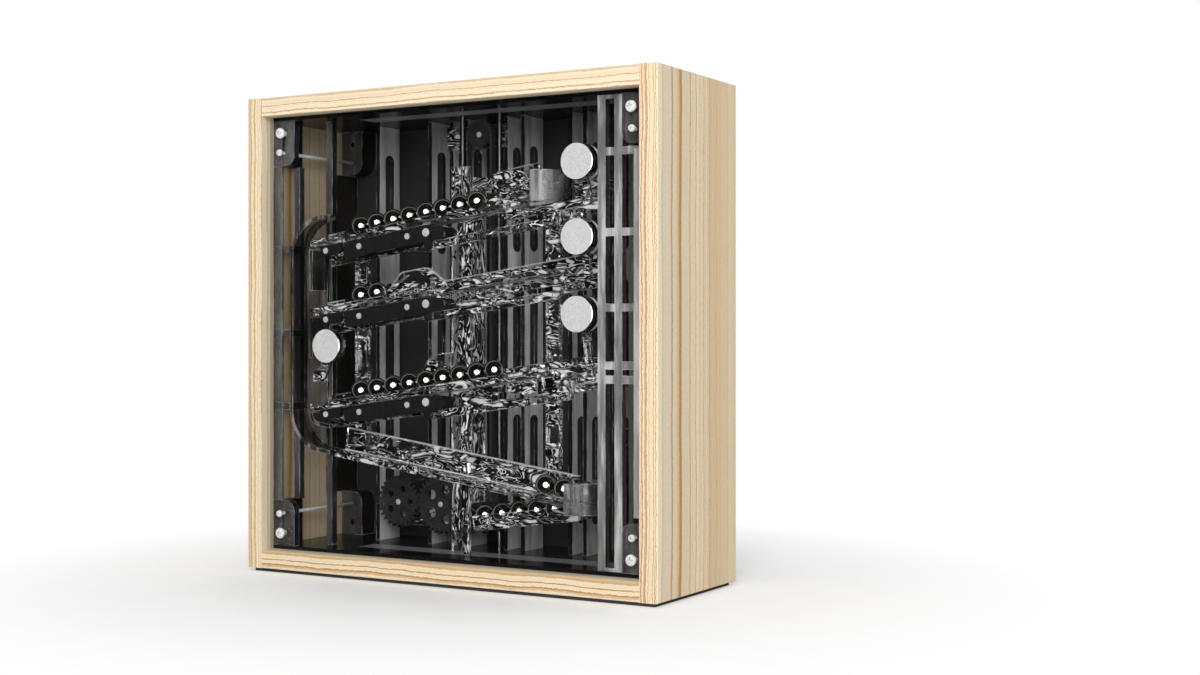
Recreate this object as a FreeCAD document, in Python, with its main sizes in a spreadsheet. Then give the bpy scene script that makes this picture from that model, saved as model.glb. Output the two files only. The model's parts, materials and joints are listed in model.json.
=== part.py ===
"""Rolling ball clock: steel balls counted in three sloping rows inside a glazed wooden case.

Frame: X to the right, Y to the back, Z up, origin under the middle of the case.
Rows, levers and rods are drawn in their row's own frame: x runs up the slope from the first
ball's centre and z stands square to the slope.
"""
import FreeCAD
import Part
import Sketcher
import math
import os

SIZES = {
    # wooden case
    "case_width": 258, "case_height": 260, "case_depth": 88, "board_thickness": 10,
    "edge_round": 0.8, "pad_thickness": 2, "pad_inset": 3, "liner_thickness": 2,
    # front and back panels, their brackets and screws
    "panel_thickness": 3, "panel_setback": 6.8, "panel_gap": 0.3, "back_thickness": 3,
    "back_setback": 3, "bracket_width": 15, "bracket_height": 25, "bracket_thickness": 4,
    "bracket_depth": 20, "bracket_round": 6, "block_depth": 12, "panel_screw_inset_x": 8,
    "panel_screw_inset_z": 9.2, "panel_screw_radius": 1.5, "panel_screw_head": 2.9,
    "screw_head_height": 2, "screw_fit": 0.1, "stay_screw_inset_x": 7.5,
    "stay_screw_inset_z": 20, "stay_screw_radius": 1, "stay_screw_head": 1.85,
    "panel_screw_length": 8,
    # balls
    "ball_diameter": 11, "side_clearance": 0.1, "ball_to_panel": 8.2, "minute_count": 8,
    "ten_minute_count": 2, "hour_count": 9, "queue_count": 10,
    # counting rows
    "mechanism_share": 0.25, "mechanism_sink": 6, "row_slope": 7.9, "first_ball_offset": 36.1,
    "minute_row_rise": 123.6,
    "ten_minute_row_rise": 85.9, "hour_row_rise": 33.95, "floor_thickness": 2.5,
    "wall_thickness": 2, "lip_thickness": 1.5, "lip_rise": 2, "row_left": 30.5,
    "row_open_end": 28, "row_plate_left": 27.8, "row_end_inset": 32.34, "row_plate_drop": 18,
    "hump_half_width": 9, "hump_run": 10, "hump_round": 6, "minute_hump_x": 94,
    "ten_minute_hump_x": 33, "hour_hump_x": 53, "minute_hump_rise": 14,
    "ten_minute_hump_rise": 9, "hour_hump_rise": 13, "turn_notch": 2.5,
    # gate lever under the left end of each row
    "lever_slot_margin": 0.6, "gate_pivot_x": 47.3, "pivot_drop": 12, "gate_plate": 2.2,
    "gate_front_gap": 0.1, "gate_spread": 7.4, "gate_top_gap": 0.6, "gate_bottom": 17,
    "gate_tail": 11.2, "gate_tail_drop": 2, "gate_round": 2.5, "finger_gap": 0.2,
    "finger_thickness": 2, "finger_swing": 2.4, "finger_top": 1, "spacer_radius": 1.4,
    "spacer_left_x": 2.5, "spacer_right_x": 35, "arm_length": 7, "arm_width": 4.4,
    "link_pin_radius": 1, "axle_radius": 1.2, "axle_fit": 0.05, "axle_head_radius": 2.2,
    "axle_head_height": 0.6, "link_clearance": 0.18, "rod_height": 4.4, "rod_thickness": 2.4,
    "rod_side_gap": 0.4, "round_short": 0.1, "cut_past": 1,
    # trip lever under the place that fills a row
    "trip_thickness": 3, "trip_ahead": 1.5, "paddle_half_width": 4, "paddle_rise": 0.9,
    "paddle_sweep": 1, "trip_arm_height": 3.6, "trip_hub_radius": 2.4, "hub_length": 6,
    "minute_full_count": 9, "ten_minute_full_count": 5, "hour_full_count": 11,
    "trip_pivot_inset": 26.9, "hour_trip_pivot_inset": 20.9, "weight_radius": 9.5,
    "weight_front": 6.2, "weight_rear": 3.3, "weight_inset": 8.1, "weight_rise": 7.8,
    "hour_weight_inset": 6.3, "hour_weight_rise": 20.8, "stop_offset": 5, "stop_width": 6,
    "stop_height": 3.5, "stop_gap": 0.3,
    # end plate left of each gate
    "end_plate_left": 24, "end_plate_gap": 2.2, "end_plate_height": 5.5,
    # chute down the left side, and the ramp back to the lift
    "chute_inset": 19, "chute_half_width": 6, "rail_thickness": 2, "chute_round": 22,
    "chute_back_round": 13, "hood_reach": 20, "hood_clearance": 1, "rail_gap": 0.3,
    "throat_round": 7, "entry_clearance": 1.3, "brake_window": 15, "ramp_offset": 21.5,
    "ramp_start_rise": 6.1, "ramp_wall_up": 7, "ramp_wall_down": 10, "ramp_turn_inset": 49,
    "turn_drop": 5, "queue_step": 3.3, "turn_ball_1_angle": 22, "turn_ball_2_angle": 120,
    "turn_seat": 5.82, "ramp_ball_inset": 4.4, "ramp_count": 2, "layer_gap": 0.3,
    "turn_floor": 1.6, "turn_wall_height": 16, "turn_wall_thickness": 2, "rear_lip": 1.5,
    # feed ramp at the top
    "feed_turn_x": 50, "feed_slope": 4,
    # brake lever beside the chute
    "brake_pivot_offset": 10.5, "brake_pivot_rise": 60, "brake_weight_offset": 7.2,
    "brake_weight_drop": 2, "brake_arm_drop": 22, "brake_hub_radius": 2.3,
    "brake_arm_width": 3, "nose_reach": 3.5, "nose_height": 5,
    # lift
    "lift_x": -3.5, "cradle_tilt": 6, "cradle_thickness": 2.5, "cradle_gap": 0.3,
    "carriage_plate": 2, "carriage_gap": 0.3, "carriage_below": 8, "carriage_above": 17,
    "guide_spread": 12, "guide_radius": 1.5, "guide_fit": 0.05, "sleeve_radius": 2.7,
    "belt_gap": 2.7, "belt_width": 4, "belt_thickness": 1.2, "belt_flat": 0.025,
    "pulley_radius": 7, "pulley_fit": 0.05, "clamp_thickness": 2, "clamp_height": 4,
    "clamp_fit": 0.1, "gear_drop": 29.6, "top_pulley_inset": 10.5, "shaft_wall": 1.5,
    # gear train
    "gear_module": 1, "drive_teeth": 27, "idler_teeth": 31, "gear_gap": 1, "gear_width": 4,
    "gear_backlash": 0.15, "root_clearance": 0.25, "pressure_angle": 20, "gear_web": 2,
    "web_holes": 5, "shaft_radius": 1.5, "shaft_fit": 0.05, "gear_hub_radius": 4.5,
    "gear_plate_gap": 0.7, "gear_plate_thickness": 2.5, "gear_plate_margin": 13,
    "motor_radius": 12, "motor_length": 15.5, "motor_cap": 2.5,
    # acrylic ribs, columns and brackets
    "rib_thickness": 2.5, "rib_back_gap": 8, "left_rib_x": -81, "left_bracket_rib_x": -44.6,
    "left_middle_rib_x": -30, "left_lift_rib_x": -20, "lift_rib_x": 6,
    "right_lift_rib_x": 17, "right_bracket_rib_x": 47, "right_middle_rib_x": 56,
    "right_rib_x": 74, "rib_windows": 3, "rib_window_width": 8, "rib_window_round": 3.5,
    "rib_window_end": 16, "bracket_top": 9, "bracket_tall": 7, "post_width": 8,
    "post_depth": 4, "post_left_x": -70, "post_right_x": 54, "column_inset": 15.5,
    "column_width": 14, "column_bar": 4.5, "column_depth": 4, "column_front_gap": 1.2,
    "left_column_width": 4, "flange_width": 6.5, "flange_depth": 1, "strip_thickness": 2,
    "bracket_gap": 0.3, "rung_height": 4, "rung_depth": 5, "rung_1_rise": 42,
    "rung_2_rise": 49, "rung_3_rise": 77.6, "rung_4_rise": 115, "rung_5_rise": 155,
    "stay_1_rise": 24.4, "stay_2_rise": 65, "stay_3_rise": 111.4,
    # electronics
    "board_x": 66, "board_rise": 83, "board_width": 52, "board_height": 64,
    "board_sheet": 1.6, "spacer_length": 5, "spacer_outer": 2.5, "board_hole_inset": 4,
    "chip_size": 12, "chip_height": 2, "chip_spacing": 24, "inlet_x": 84, "inlet_rise": 24,
    "inlet_radius": 4.5, "inlet_bore": 2.8, "inlet_depth": 11, "inlet_flange": 6,
    "inlet_flange_thickness": 1.5, "inlet_pin": 1,
}

SHEET = "Sizes"
NEAR = 0.01


class Dim:
    """A size worked out from the sheet: its value, and the expression that keeps it true."""

    def __init__(self, value, text):
        self.value = float(value)
        self.text = text

    def __add__(self, other):
        other = dim(other)
        return Dim(self.value + other.value, f"({self.text} + {other.text})")

    def __radd__(self, other):
        return dim(other) + self

    def __sub__(self, other):
        other = dim(other)
        return Dim(self.value - other.value, f"({self.text} - {other.text})")

    def __rsub__(self, other):
        return dim(other) - self

    def __mul__(self, other):
        other = dim(other)
        return Dim(self.value * other.value, f"({self.text} * {other.text})")

    def __rmul__(self, other):
        return dim(other) * self

    def __truediv__(self, other):
        other = dim(other)
        return Dim(self.value / other.value, f"({self.text} / {other.text})")

    def __neg__(self):
        return Dim(-self.value, f"(-{self.text})")


def dim(number):
    """A plain number as a Dim."""
    if isinstance(number, Dim):
        return number
    return Dim(number, f"({float(number)!r})")


def sine(angle):
    return Dim(math.sin(math.radians(angle.value)), f"sin({angle.text})")


def cosine(angle):
    return Dim(math.cos(math.radians(angle.value)), f"cos({angle.text})")


def tangent(angle):
    return Dim(math.tan(math.radians(angle.value)), f"tan({angle.text})")


class Sheet:
    """The driving sizes, each readable as an attribute that carries its cell's alias."""

    def __init__(self, document):
        self.cells = document.addObject("Spreadsheet::Sheet", SHEET)
        for line, (alias, number) in enumerate(SIZES.items(), start=1):
            self.cells.set(f"A{line}", alias)
            self.cells.set(f"B{line}", str(number))
            self.cells.setAlias(f"B{line}", alias)
        document.recompute()

    def __getattr__(self, alias):
        return Dim(self.cells.get(alias), f"{SHEET}.{alias}")


doc = FreeCAD.newDocument("rolling_ball_clock")
d = Sheet(doc)
nodes = []


# ---------------------------------------------------------------- building blocks

def bind(thing, prop, size):
    """Tie one property to its size in the sheet."""
    thing.setExpression(prop, dim(size).text)


def place(thing, at):
    for letter, size in zip("xyz", at):
        bind(thing, f"Placement.Base.{letter}", size)


def box(name, low, high):
    solid = doc.addObject("Part::Box", name)
    for prop, start, end in zip(("Length", "Width", "Height"), low, high):
        bind(solid, prop, dim(end) - start)
    place(solid, low)
    return solid


TURNS = {
    "x": FreeCAD.Rotation(FreeCAD.Vector(0, 1, 0), 90),
    "y": FreeCAD.Rotation(FreeCAD.Vector(1, 0, 0), -90),
    "z": FreeCAD.Rotation(),
}


def cylinder(name, start, axis, length, radius):
    """A round bar from start along +axis."""
    solid = doc.addObject("Part::Cylinder", name)
    bind(solid, "Radius", radius)
    bind(solid, "Height", length)
    solid.Placement = FreeCAD.Placement(FreeCAD.Vector(), TURNS[axis])
    place(solid, start)
    return solid


def fuse(name, *parts):
    whole = doc.addObject("Part::MultiFuse", name)
    whole.Shapes = list(parts)
    return whole


def cut(name, base, *tools):
    rest = doc.addObject("Part::Cut", name)
    rest.Base = base
    rest.Tool = tools[0] if len(tools) == 1 else fuse(name + "_tools", *tools)
    return rest


def common(name, *parts):
    shared = doc.addObject("Part::MultiCommon", name)
    shared.Shapes = list(parts)
    return shared


def group(name, parts):
    """Separate solids that share one node."""
    members = doc.addObject("Part::Compound", name)
    members.Links = list(parts)
    return members


def keep(thing, label):
    """Name a finished sub-part, which is then written to its own file."""
    thing.Label = label
    nodes.append(thing)
    return thing


def tilt(thing, at, axis, angle):
    """Set a sub-part drawn in a sloped frame into the case."""
    thing.Placement = FreeCAD.Placement(FreeCAD.Vector(), FreeCAD.Rotation(axis, 1))
    place(thing, at)
    bind(thing, "Placement.Rotation.Angle", angle)
    return thing


UP_TO_RIGHT = FreeCAD.Vector(0, -1, 0)
DOWN_TO_RIGHT = FreeCAD.Vector(0, 1, 0)

PLANES = {"xy": "XY_Plane", "xz": "XZ_Plane", "yz": "YZ_Plane"}


def outline(sketch, corners):
    """A closed outline through corners (u, v) or (u, v, radius), every corner dimensioned."""
    flat = [FreeCAD.Vector(dim(corner[0]).value, dim(corner[1]).value, 0) for corner in corners]
    radii = [dim(corner[2]) if len(corner) > 2 else None for corner in corners]
    count = len(corners)
    ends = []
    for i in range(count):
        back = (flat[i - 1] - flat[i]).normalize()
        ahead = (flat[(i + 1) % count] - flat[i]).normalize()
        if radii[i] is None:
            ends.append((flat[i], flat[i], None))
            continue
        half = back.getAngle(ahead) / 2
        run = radii[i].value / math.tan(half)
        inward = (back + ahead).normalize()
        middle = flat[i] + inward * (radii[i].value / math.sin(half) - radii[i].value)
        ends.append((flat[i] + back * run, flat[i] + ahead * run, middle))
    points = [sketch.addGeometry(Part.Point(point), True) for point in flat]
    lines = [sketch.addGeometry(Part.LineSegment(ends[i][1], ends[(i + 1) % count][0]), False)
             for i in range(count)]
    for i in range(count):
        for kind, coordinate, value in (("DistanceX", corners[i][0], flat[i].x),
                                        ("DistanceY", corners[i][1], flat[i].y)):
            row = sketch.addConstraint(Sketcher.Constraint(kind, -1, 1, points[i], 1, value))
            sketch.setExpression(f"Constraints[{row}]", dim(coordinate).text)
        if radii[i] is None:
            sketch.addConstraint(Sketcher.Constraint("Coincident", lines[i - 1], 2, points[i], 1))
            sketch.addConstraint(Sketcher.Constraint("Coincident", lines[i], 1, points[i], 1))
            continue
        curve = Part.Arc(*[ends[i][k] for k in (0, 2, 1)])
        arc = sketch.addGeometry(curve, False)
        forward = sketch.getPoint(arc, 1).distanceToPoint(ends[i][0]) < 1e-6
        first, last = (1, 2) if forward else (2, 1)
        sketch.addConstraint(Sketcher.Constraint("Tangent", lines[i - 1], 2, arc, first))
        sketch.addConstraint(Sketcher.Constraint("Tangent", lines[i], 1, arc, last))
        sketch.addConstraint(Sketcher.Constraint("PointOnObject", points[i], 1, lines[i - 1]))
        sketch.addConstraint(Sketcher.Constraint("PointOnObject", points[i], 1, lines[i]))
        row = sketch.addConstraint(Sketcher.Constraint("Radius", arc, radii[i].value))
        sketch.setExpression(f"Constraints[{row}]", radii[i].text)


def circle(sketch, centre, radius):
    u, v, radius = dim(centre[0]), dim(centre[1]), dim(radius)
    at = FreeCAD.Vector(u.value, v.value, 0)
    ring = sketch.addGeometry(Part.Circle(at, FreeCAD.Vector(0, 0, 1), radius.value), False)
    for constraint, size in ((Sketcher.Constraint("DistanceX", -1, 1, ring, 3, u.value), u),
                             (Sketcher.Constraint("DistanceY", -1, 1, ring, 3, v.value), v),
                             (Sketcher.Constraint("Radius", ring, radius.value), radius)):
        row = sketch.addConstraint(constraint)
        sketch.setExpression(f"Constraints[{row}]", size.text)


def plate(name, plane, corners, start, thickness, holes=(), windows=()):
    """A body padded from one sketch: up, to the right, or from its rear face to the front."""
    body = doc.addObject("PartDesign::Body", name)
    sketch = body.newObject("Sketcher::SketchObject", name + "_outline")
    support = [f for f in body.Origin.OriginFeatures if f.Role == PLANES[plane]]
    sketch.AttachmentSupport = [(support[0], "")]
    sketch.MapMode = "FlatFace"
    bind(sketch, "AttachmentOffset.Base.z", -dim(start) if plane == "xz" else start)
    outline(sketch, corners)
    for window in windows:
        outline(sketch, window)
    for hole in holes:
        circle(sketch, hole[:2], hole[2])
    pad = body.newObject("PartDesign::Pad", name + "_pad")
    pad.Profile = sketch
    bind(pad, "Length", thickness)
    body.Tip = pad
    return body


def round_edges(body, radius, wanted):
    """Round the body's edges whose middle point passes the test."""
    doc.recompute()
    tip = body.Tip
    names = [f"Edge{i}" for i, edge in enumerate(tip.Shape.Edges, start=1)
             if wanted(edge.CenterOfMass)]
    rounded = body.newObject("PartDesign::Fillet", body.Name + "_round")
    rounded.Base = (tip, names)
    bind(rounded, "Radius", radius)
    body.Tip = rounded
    return body


# ---------------------------------------------------------------- shared places

half_width = d.case_width / 2
half_depth = d.case_depth / 2
wood_bottom = d.pad_thickness
wood_top = d.pad_thickness + d.case_height
inner_x = half_width - d.board_thickness
floor_z = wood_bottom + d.board_thickness + d.liner_thickness
ceiling_z = wood_top - d.board_thickness - d.liner_thickness
middle_z = wood_bottom + d.case_height / 2
inner_half_height = d.case_height / 2 - d.board_thickness

panel_front_y = d.panel_setback - half_depth
panel_back_y = panel_front_y + d.panel_thickness
back_front_y = half_depth - d.back_setback - d.back_thickness
ball_radius = d.ball_diameter / 2
channel_half = ball_radius + d.side_clearance
row_y = panel_back_y + d.ball_to_panel
lip_back_y = row_y - channel_half
lip_front_y = lip_back_y - d.lip_thickness
row_wall_y = row_y + channel_half
row_wall_back_y = row_wall_y + d.wall_thickness
rear_lip_front_y = row_wall_back_y + d.layer_gap
rear_lip_back_y = rear_lip_front_y + d.rear_lip
rear_y = rear_lip_back_y + channel_half
rear_wall_y = rear_y + channel_half
rear_wall_back_y = rear_wall_y + d.wall_thickness
turn_y = (row_y + rear_y) / 2

floor_top = -ball_radius
floor_bottom = floor_top - d.floor_thickness
lip_top = floor_top + d.lip_rise
slope = tangent(d.row_slope)
upright = cosine(d.row_slope)
belt_front_y = rear_wall_back_y + d.belt_gap
belt_back_y = belt_front_y + d.belt_width
guide_y = belt_front_y + d.belt_width / 2
gear_front_y = belt_back_y + d.gear_gap
plate_front_y = gear_front_y + d.gear_width + d.gear_plate_gap
rib_front_y = plate_front_y + d.gear_plate_thickness
rib_depth = back_front_y - d.rib_back_gap - rib_front_y

mechanism_z = floor_z + (ceiling_z - floor_z) * d.mechanism_share - d.mechanism_sink
gear_z = mechanism_z - d.gear_drop
top_pulley_z = ceiling_z - d.top_pulley_inset
chute_x = d.chute_inset - inner_x
first_ball_x = chute_x + d.first_ball_offset
row_plate_right = (inner_x - d.row_end_inset - first_ball_x) / cosine(d.row_slope)
hood_end_x = chute_x + d.hood_reach
ramp_start_x = chute_x + d.ramp_offset
ramp_turn_x = inner_x - d.ramp_turn_inset
ramp_ball_x = ramp_turn_x - d.ramp_ball_inset
brake_pivot_x = chute_x + d.brake_pivot_offset
brake_pivot_z = mechanism_z + d.brake_pivot_rise
brake_weight_x = brake_pivot_x + d.brake_weight_offset
brake_weight_z = brake_pivot_z - d.brake_weight_drop
inlet_z = floor_z + d.inlet_rise

trip_pivot_x = row_plate_right - d.trip_pivot_inset
weight_x = row_plate_right - d.weight_inset
ROWS = {
    "minute": (mechanism_z + d.minute_row_rise, d.minute_count, d.minute_full_count, trip_pivot_x,
               weight_x, d.weight_rise, d.minute_hump_x, d.minute_hump_rise),
    "ten_minute": (mechanism_z + d.ten_minute_row_rise, d.ten_minute_count,
                   d.ten_minute_full_count, trip_pivot_x, weight_x, d.weight_rise,
                   d.ten_minute_hump_x, d.ten_minute_hump_rise),
    "hour": (mechanism_z + d.hour_row_rise, d.hour_count, d.hour_full_count,
             row_plate_right - d.hour_trip_pivot_inset, row_plate_right - d.hour_weight_inset,
             d.hour_weight_rise, d.hour_hump_x, d.hour_hump_rise),
}
minute_row_z = ROWS["minute"][0]


def row_z(first_z, x):
    """Height of a row's ball centres at x."""
    return first_z + (x - first_ball_x) * slope


def ramp_z(x):
    """Height of the ball centres on the return ramp at x."""
    return mechanism_z + d.ramp_start_rise - (x - ramp_start_x) * slope


def queue_z(x):
    """Height of the ball centres in the queue behind the ramp."""
    return ramp_z(ramp_turn_x) - d.turn_drop - d.queue_step - (ramp_turn_x - x) * slope


def feed_z(x):
    """Height of the ball centres on the feed ramp from the top of the lift."""
    at_turn = row_z(minute_row_z, d.feed_turn_x) + d.turn_drop
    return at_turn + (d.feed_turn_x - x) * tangent(d.feed_slope)


def in_row(thing, first_z):
    return tilt(thing, (first_ball_x, dim(0), first_z), UP_TO_RIGHT, d.row_slope)


# ---------------------------------------------------------------- case

def case():
    for name, start in (("left_side", -half_width), ("right_side", inner_x)):
        corners = [(-half_depth, wood_bottom), (half_depth, wood_bottom),
                   (half_depth, wood_top), (-half_depth, wood_top)]
        side = plate(name, "yz", corners, start, d.board_thickness)
        outer = half_width.value
        keep(round_edges(side, d.edge_round, lambda p: abs(abs(p.x) - outer) < NEAR), name)
    for name, start in (("top_board", wood_top - d.board_thickness), ("bottom_board", wood_bottom)):
        corners = [(-inner_x, -half_depth), (inner_x, -half_depth),
                   (inner_x, half_depth), (-inner_x, half_depth)]
        board = plate(name, "xy", corners, start, d.board_thickness)
        faces = (wood_top.value, wood_bottom.value)
        deep = half_depth.value
        keep(round_edges(board, d.edge_round, lambda p: min(abs(p.z - face) for face in faces) < NEAR
                         and abs(abs(p.y) - deep) < NEAR), name)
    pad_x, pad_y = half_width - d.pad_inset, half_depth - d.pad_inset
    keep(box("base", (-pad_x, -pad_y, dim(0)), (pad_x, pad_y, d.pad_thickness)), "base_pad")
    sheets = [box(name, (-inner_x, panel_back_y, low),
                  (inner_x, back_front_y, low + d.liner_thickness))
              for name, low in (("upper", ceiling_z), ("lower", wood_bottom + d.board_thickness))]
    keep(group("liner_sheets", sheets), "liners")


def corner_places(inset_x, inset_z):
    """The four places set in from the corners of the case opening."""
    x, z = inner_x - inset_x, inner_half_height - inset_z
    return [(side * x, middle_z + level * z) for side in (-1, 1) for level in (-1, 1)]


def panels():
    reach_x, reach_z = inner_x - d.panel_gap, inner_half_height - d.panel_gap
    corners = [(-reach_x, middle_z - reach_z), (reach_x, middle_z - reach_z),
               (reach_x, middle_z + reach_z), (-reach_x, middle_z + reach_z)]
    main = [(x, z, d.panel_screw_radius + d.screw_fit)
            for x, z in corner_places(d.panel_screw_inset_x, d.panel_screw_inset_z)]
    stays = [(x, z, d.stay_screw_radius + d.screw_fit)
             for x, z in corner_places(d.stay_screw_inset_x, d.stay_screw_inset_z)]
    inlet = [(d.inlet_x, inlet_z, d.inlet_radius + d.screw_fit)]
    keep(plate("glazing", "xz", corners, panel_back_y, d.panel_thickness, main + stays),
         "front_panel")
    keep(plate("backing", "xz", corners, back_front_y + d.back_thickness, d.back_thickness,
               main + inlet), "back_panel")


def corner_pieces(name, front_y, thickness, foot_depth):
    """Four L-shaped pieces in the corners: a rounded tab across and a foot along the side."""
    pieces = []
    screw = d.panel_screw_radius + d.screw_fit
    stay = d.stay_screw_radius + d.screw_fit
    spots = zip(corner_places(d.panel_screw_inset_x, d.panel_screw_inset_z),
                corner_places(d.stay_screw_inset_x, d.stay_screw_inset_z))
    for number, (main, second) in enumerate(spots):
        side = 1 if main[0].value > 0 else -1
        level = 1 if main[1].value > middle_z.value else -1
        wall, edge = side * inner_x, middle_z + level * (inner_half_height - d.liner_thickness)
        tip_x, tip_z = wall - side * d.bracket_width, edge - level * d.bracket_height
        corners = [(wall, edge), (wall, tip_z), (tip_x, tip_z, d.bracket_round), (tip_x, edge)]
        tab = plate(f"{name}_tab_{number}", "xz", corners, front_y + thickness, thickness,
                    [(main[0], main[1], screw), (second[0], second[1], stay)])
        inside = wall - side * d.bracket_thickness
        low_x, high_x = (wall, inside) if side < 0 else (inside, wall)
        low_z, high_z = (edge, tip_z) if level < 0 else (tip_z, edge)
        foot = box(f"{name}_foot_{number}", (low_x, front_y, low_z),
                   (high_x, front_y + foot_depth, high_z))
        shank = cylinder(f"{name}_way_{number}", (second[0], front_y, second[1]), "y", foot_depth,
                         d.stay_screw_head)
        pieces.append(fuse(f"{name}_{number}", tab, cut(f"{name}_clear_{number}", foot, shank)))
    return pieces


def screws(name, spots, radius, head_radius, face_y, length):
    """Pan-head screws driven backwards from the face."""
    pieces = []
    for number, (x, z) in enumerate(spots):
        head = cylinder(f"{name}_head_{number}", (x, face_y - d.screw_head_height, z), "y",
                        d.screw_head_height, head_radius)
        shank = cylinder(f"{name}_shank_{number}", (x, face_y, z), "y", length, radius)
        pieces.append(fuse(f"{name}_{number}", head, shank))
    return pieces


def fasteners():
    brackets = corner_pieces("front_corners", panel_back_y, d.bracket_thickness, d.bracket_depth)
    brackets += corner_pieces("rear_corners", back_front_y - d.block_depth, d.block_depth,
                              d.block_depth)
    keep(group("bracket_group", brackets), "corner_brackets")
    mains = corner_places(d.panel_screw_inset_x, d.panel_screw_inset_z)
    stays = corner_places(d.stay_screw_inset_x, d.stay_screw_inset_z)
    pieces = screws("panel_screw", mains, d.panel_screw_radius, d.panel_screw_head, panel_front_y,
                    d.panel_screw_length)
    pieces += screws("stay_screw", stays, d.stay_screw_radius, d.stay_screw_head, panel_front_y,
                     back_front_y - panel_front_y)
    back_face = back_front_y + d.back_thickness
    for number, (x, z) in enumerate(mains):
        head = cylinder(f"back_head_{number}", (x, back_face, z), "y", d.screw_head_height,
                        d.panel_screw_head)
        shank = cylinder(f"back_shank_{number}", (x, back_face - d.panel_screw_length, z), "y",
                         d.panel_screw_length, d.panel_screw_radius)
        pieces.append(fuse(f"back_screw_{number}", head, shank))
    keep(group("screw_group", pieces), "screws")


# ---------------------------------------------------------------- ribs and columns

def frame_pieces():
    places = (d.left_rib_x, d.left_bracket_rib_x, d.left_middle_rib_x, d.left_lift_rib_x,
              d.lift_rib_x, d.right_lift_rib_x, d.right_bracket_rib_x, d.right_middle_rib_x,
              d.right_rib_x)
    back = rib_front_y + rib_depth
    middle = rib_front_y + rib_depth / 2
    ribs = []
    for number, x in enumerate(places):
        corners = [(rib_front_y, floor_z), (back, floor_z), (back, ceiling_z),
                   (rib_front_y, ceiling_z)]
        near, far = middle - d.rib_window_width / 2, middle + d.rib_window_width / 2
        windows = []
        span = (ceiling_z - floor_z - d.rib_window_end) / d.rib_windows
        for step in range(int(d.rib_windows.value)):
            low = floor_z + d.rib_window_end + span * step
            high = low + span - d.rib_window_end
            windows.append([(near, low, d.rib_window_round), (far, low, d.rib_window_round),
                            (far, high, d.rib_window_round), (near, high, d.rib_window_round)])
        ribs.append(plate(f"rib_{number}", "yz", corners, x - d.rib_thickness / 2,
                          d.rib_thickness, windows=windows))
    keep(group("rib_group", ribs), "ribs")

    front = panel_back_y + d.column_front_gap
    rung_heights = [mechanism_z + rise for rise in (d.rung_1_rise, d.rung_2_rise, d.rung_3_rise,
                                                    d.rung_4_rise, d.rung_5_rise)]
    right = inner_x - d.column_inset
    left = right - d.column_width
    corners = [(left, floor_z), (right, floor_z), (right, ceiling_z), (left, ceiling_z)]
    openings = []
    edges = [floor_z] + rung_heights + [ceiling_z]
    for low, high in zip(edges, edges[1:]):
        low = low + d.rung_height / 2
        high = high - d.rung_height / 2
        openings.append([(left + d.column_bar, low), (right - d.column_bar, low),
                         (right - d.column_bar, high), (left + d.column_bar, high)])
    bars = [plate("ladder", "xz", corners, front + d.column_depth, d.column_depth,
                  windows=openings)]
    for number, z in enumerate(rung_heights):
        bars.append(box(f"rung_{number}", (right, front, z - d.rung_height / 2),
                        (inner_x, front + d.rung_depth, z + d.rung_height / 2)))
    outer = chute_x - d.chute_half_width - d.rail_thickness
    tab = d.bracket_height + d.bracket_gap
    low, high = floor_z + tab, ceiling_z - tab
    column = outer - d.rail_gap - d.left_column_width
    left_frame = [box("left_column", (column, row_wall_y - d.post_depth, low),
                      (column + d.left_column_width, row_wall_y, high))]
    for number, rise in enumerate((d.stay_1_rise, d.stay_2_rise, d.stay_3_rise)):
        z = mechanism_z + rise
        left_frame.append(box(f"chute_stay_{number}",
                              (-inner_x, lip_front_y, z - d.rung_height / 2),
                              (outer, row_wall_back_y, z + d.rung_height / 2)))
    bars.append(fuse("left_frame", *left_frame))
    inner = chute_x + d.chute_half_width
    bars.append(box("inner_column", (inner, row_wall_back_y, floor_z),
                    (inner + d.left_column_width, row_wall_back_y + d.post_depth, ceiling_z)))
    bars.append(box("flange", (-inner_x, panel_back_y, low),
                    (d.flange_width - inner_x, panel_back_y + d.flange_depth, high)))
    for side, wall in (("left", -inner_x), ("right", inner_x - d.strip_thickness)):
        bars.append(box(side + "_strip", (wall, rib_front_y, low),
                        (wall + d.strip_thickness, back_front_y, high)))
    for number, row in enumerate(ROWS.values()):
        end_x = (first_ball_x + row_plate_right * upright + d.rail_gap
                 + (ball_radius + d.rung_height) * sine(d.row_slope))
        z = row_z(row[0], end_x) - ball_radius
        bars.append(box(f"row_stay_{number}", (end_x, front + d.column_depth, z - d.rung_height / 2),
                        (left + d.column_bar, row_wall_back_y, z + d.rung_height / 2)))
    keep(group("bar_group", bars), "side_frames")

    posts = []
    for number, x in enumerate((d.post_left_x, d.post_right_x)):
        low = ramp_z(x) - ball_radius
        high = row_z(minute_row_z, x) - d.row_plate_drop + ball_radius
        posts.append(box(f"post_{number}", (x - d.post_width / 2, row_wall_back_y, low),
                         (x + d.post_width / 2, row_wall_back_y + d.post_depth, high)))

    arms = []
    for number, x in enumerate((d.left_bracket_rib_x, d.right_bracket_rib_x)):
        levels = [row_z(row[0], x) - d.bracket_top for row in ROWS.values()]
        levels.append(ramp_z(x))
        for step, level in enumerate(levels):
            arms.append(box(f"arm_{number}_{step}",
                            (x - d.rib_thickness / 2, row_wall_back_y, level - d.bracket_tall),
                            (x + d.rib_thickness / 2, rib_front_y, level)))
    x = d.right_bracket_rib_x
    for step, level in enumerate((feed_z(x), queue_z(x))):
        arms.append(box(f"rear_arm_{step}",
                        (x - d.rib_thickness / 2, rear_wall_back_y, level - d.bracket_tall),
                        (x + d.rib_thickness / 2, rib_front_y, level)))
    keep(group("support_group", posts + arms), "row_supports")


# ---------------------------------------------------------------- channels for the balls

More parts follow.
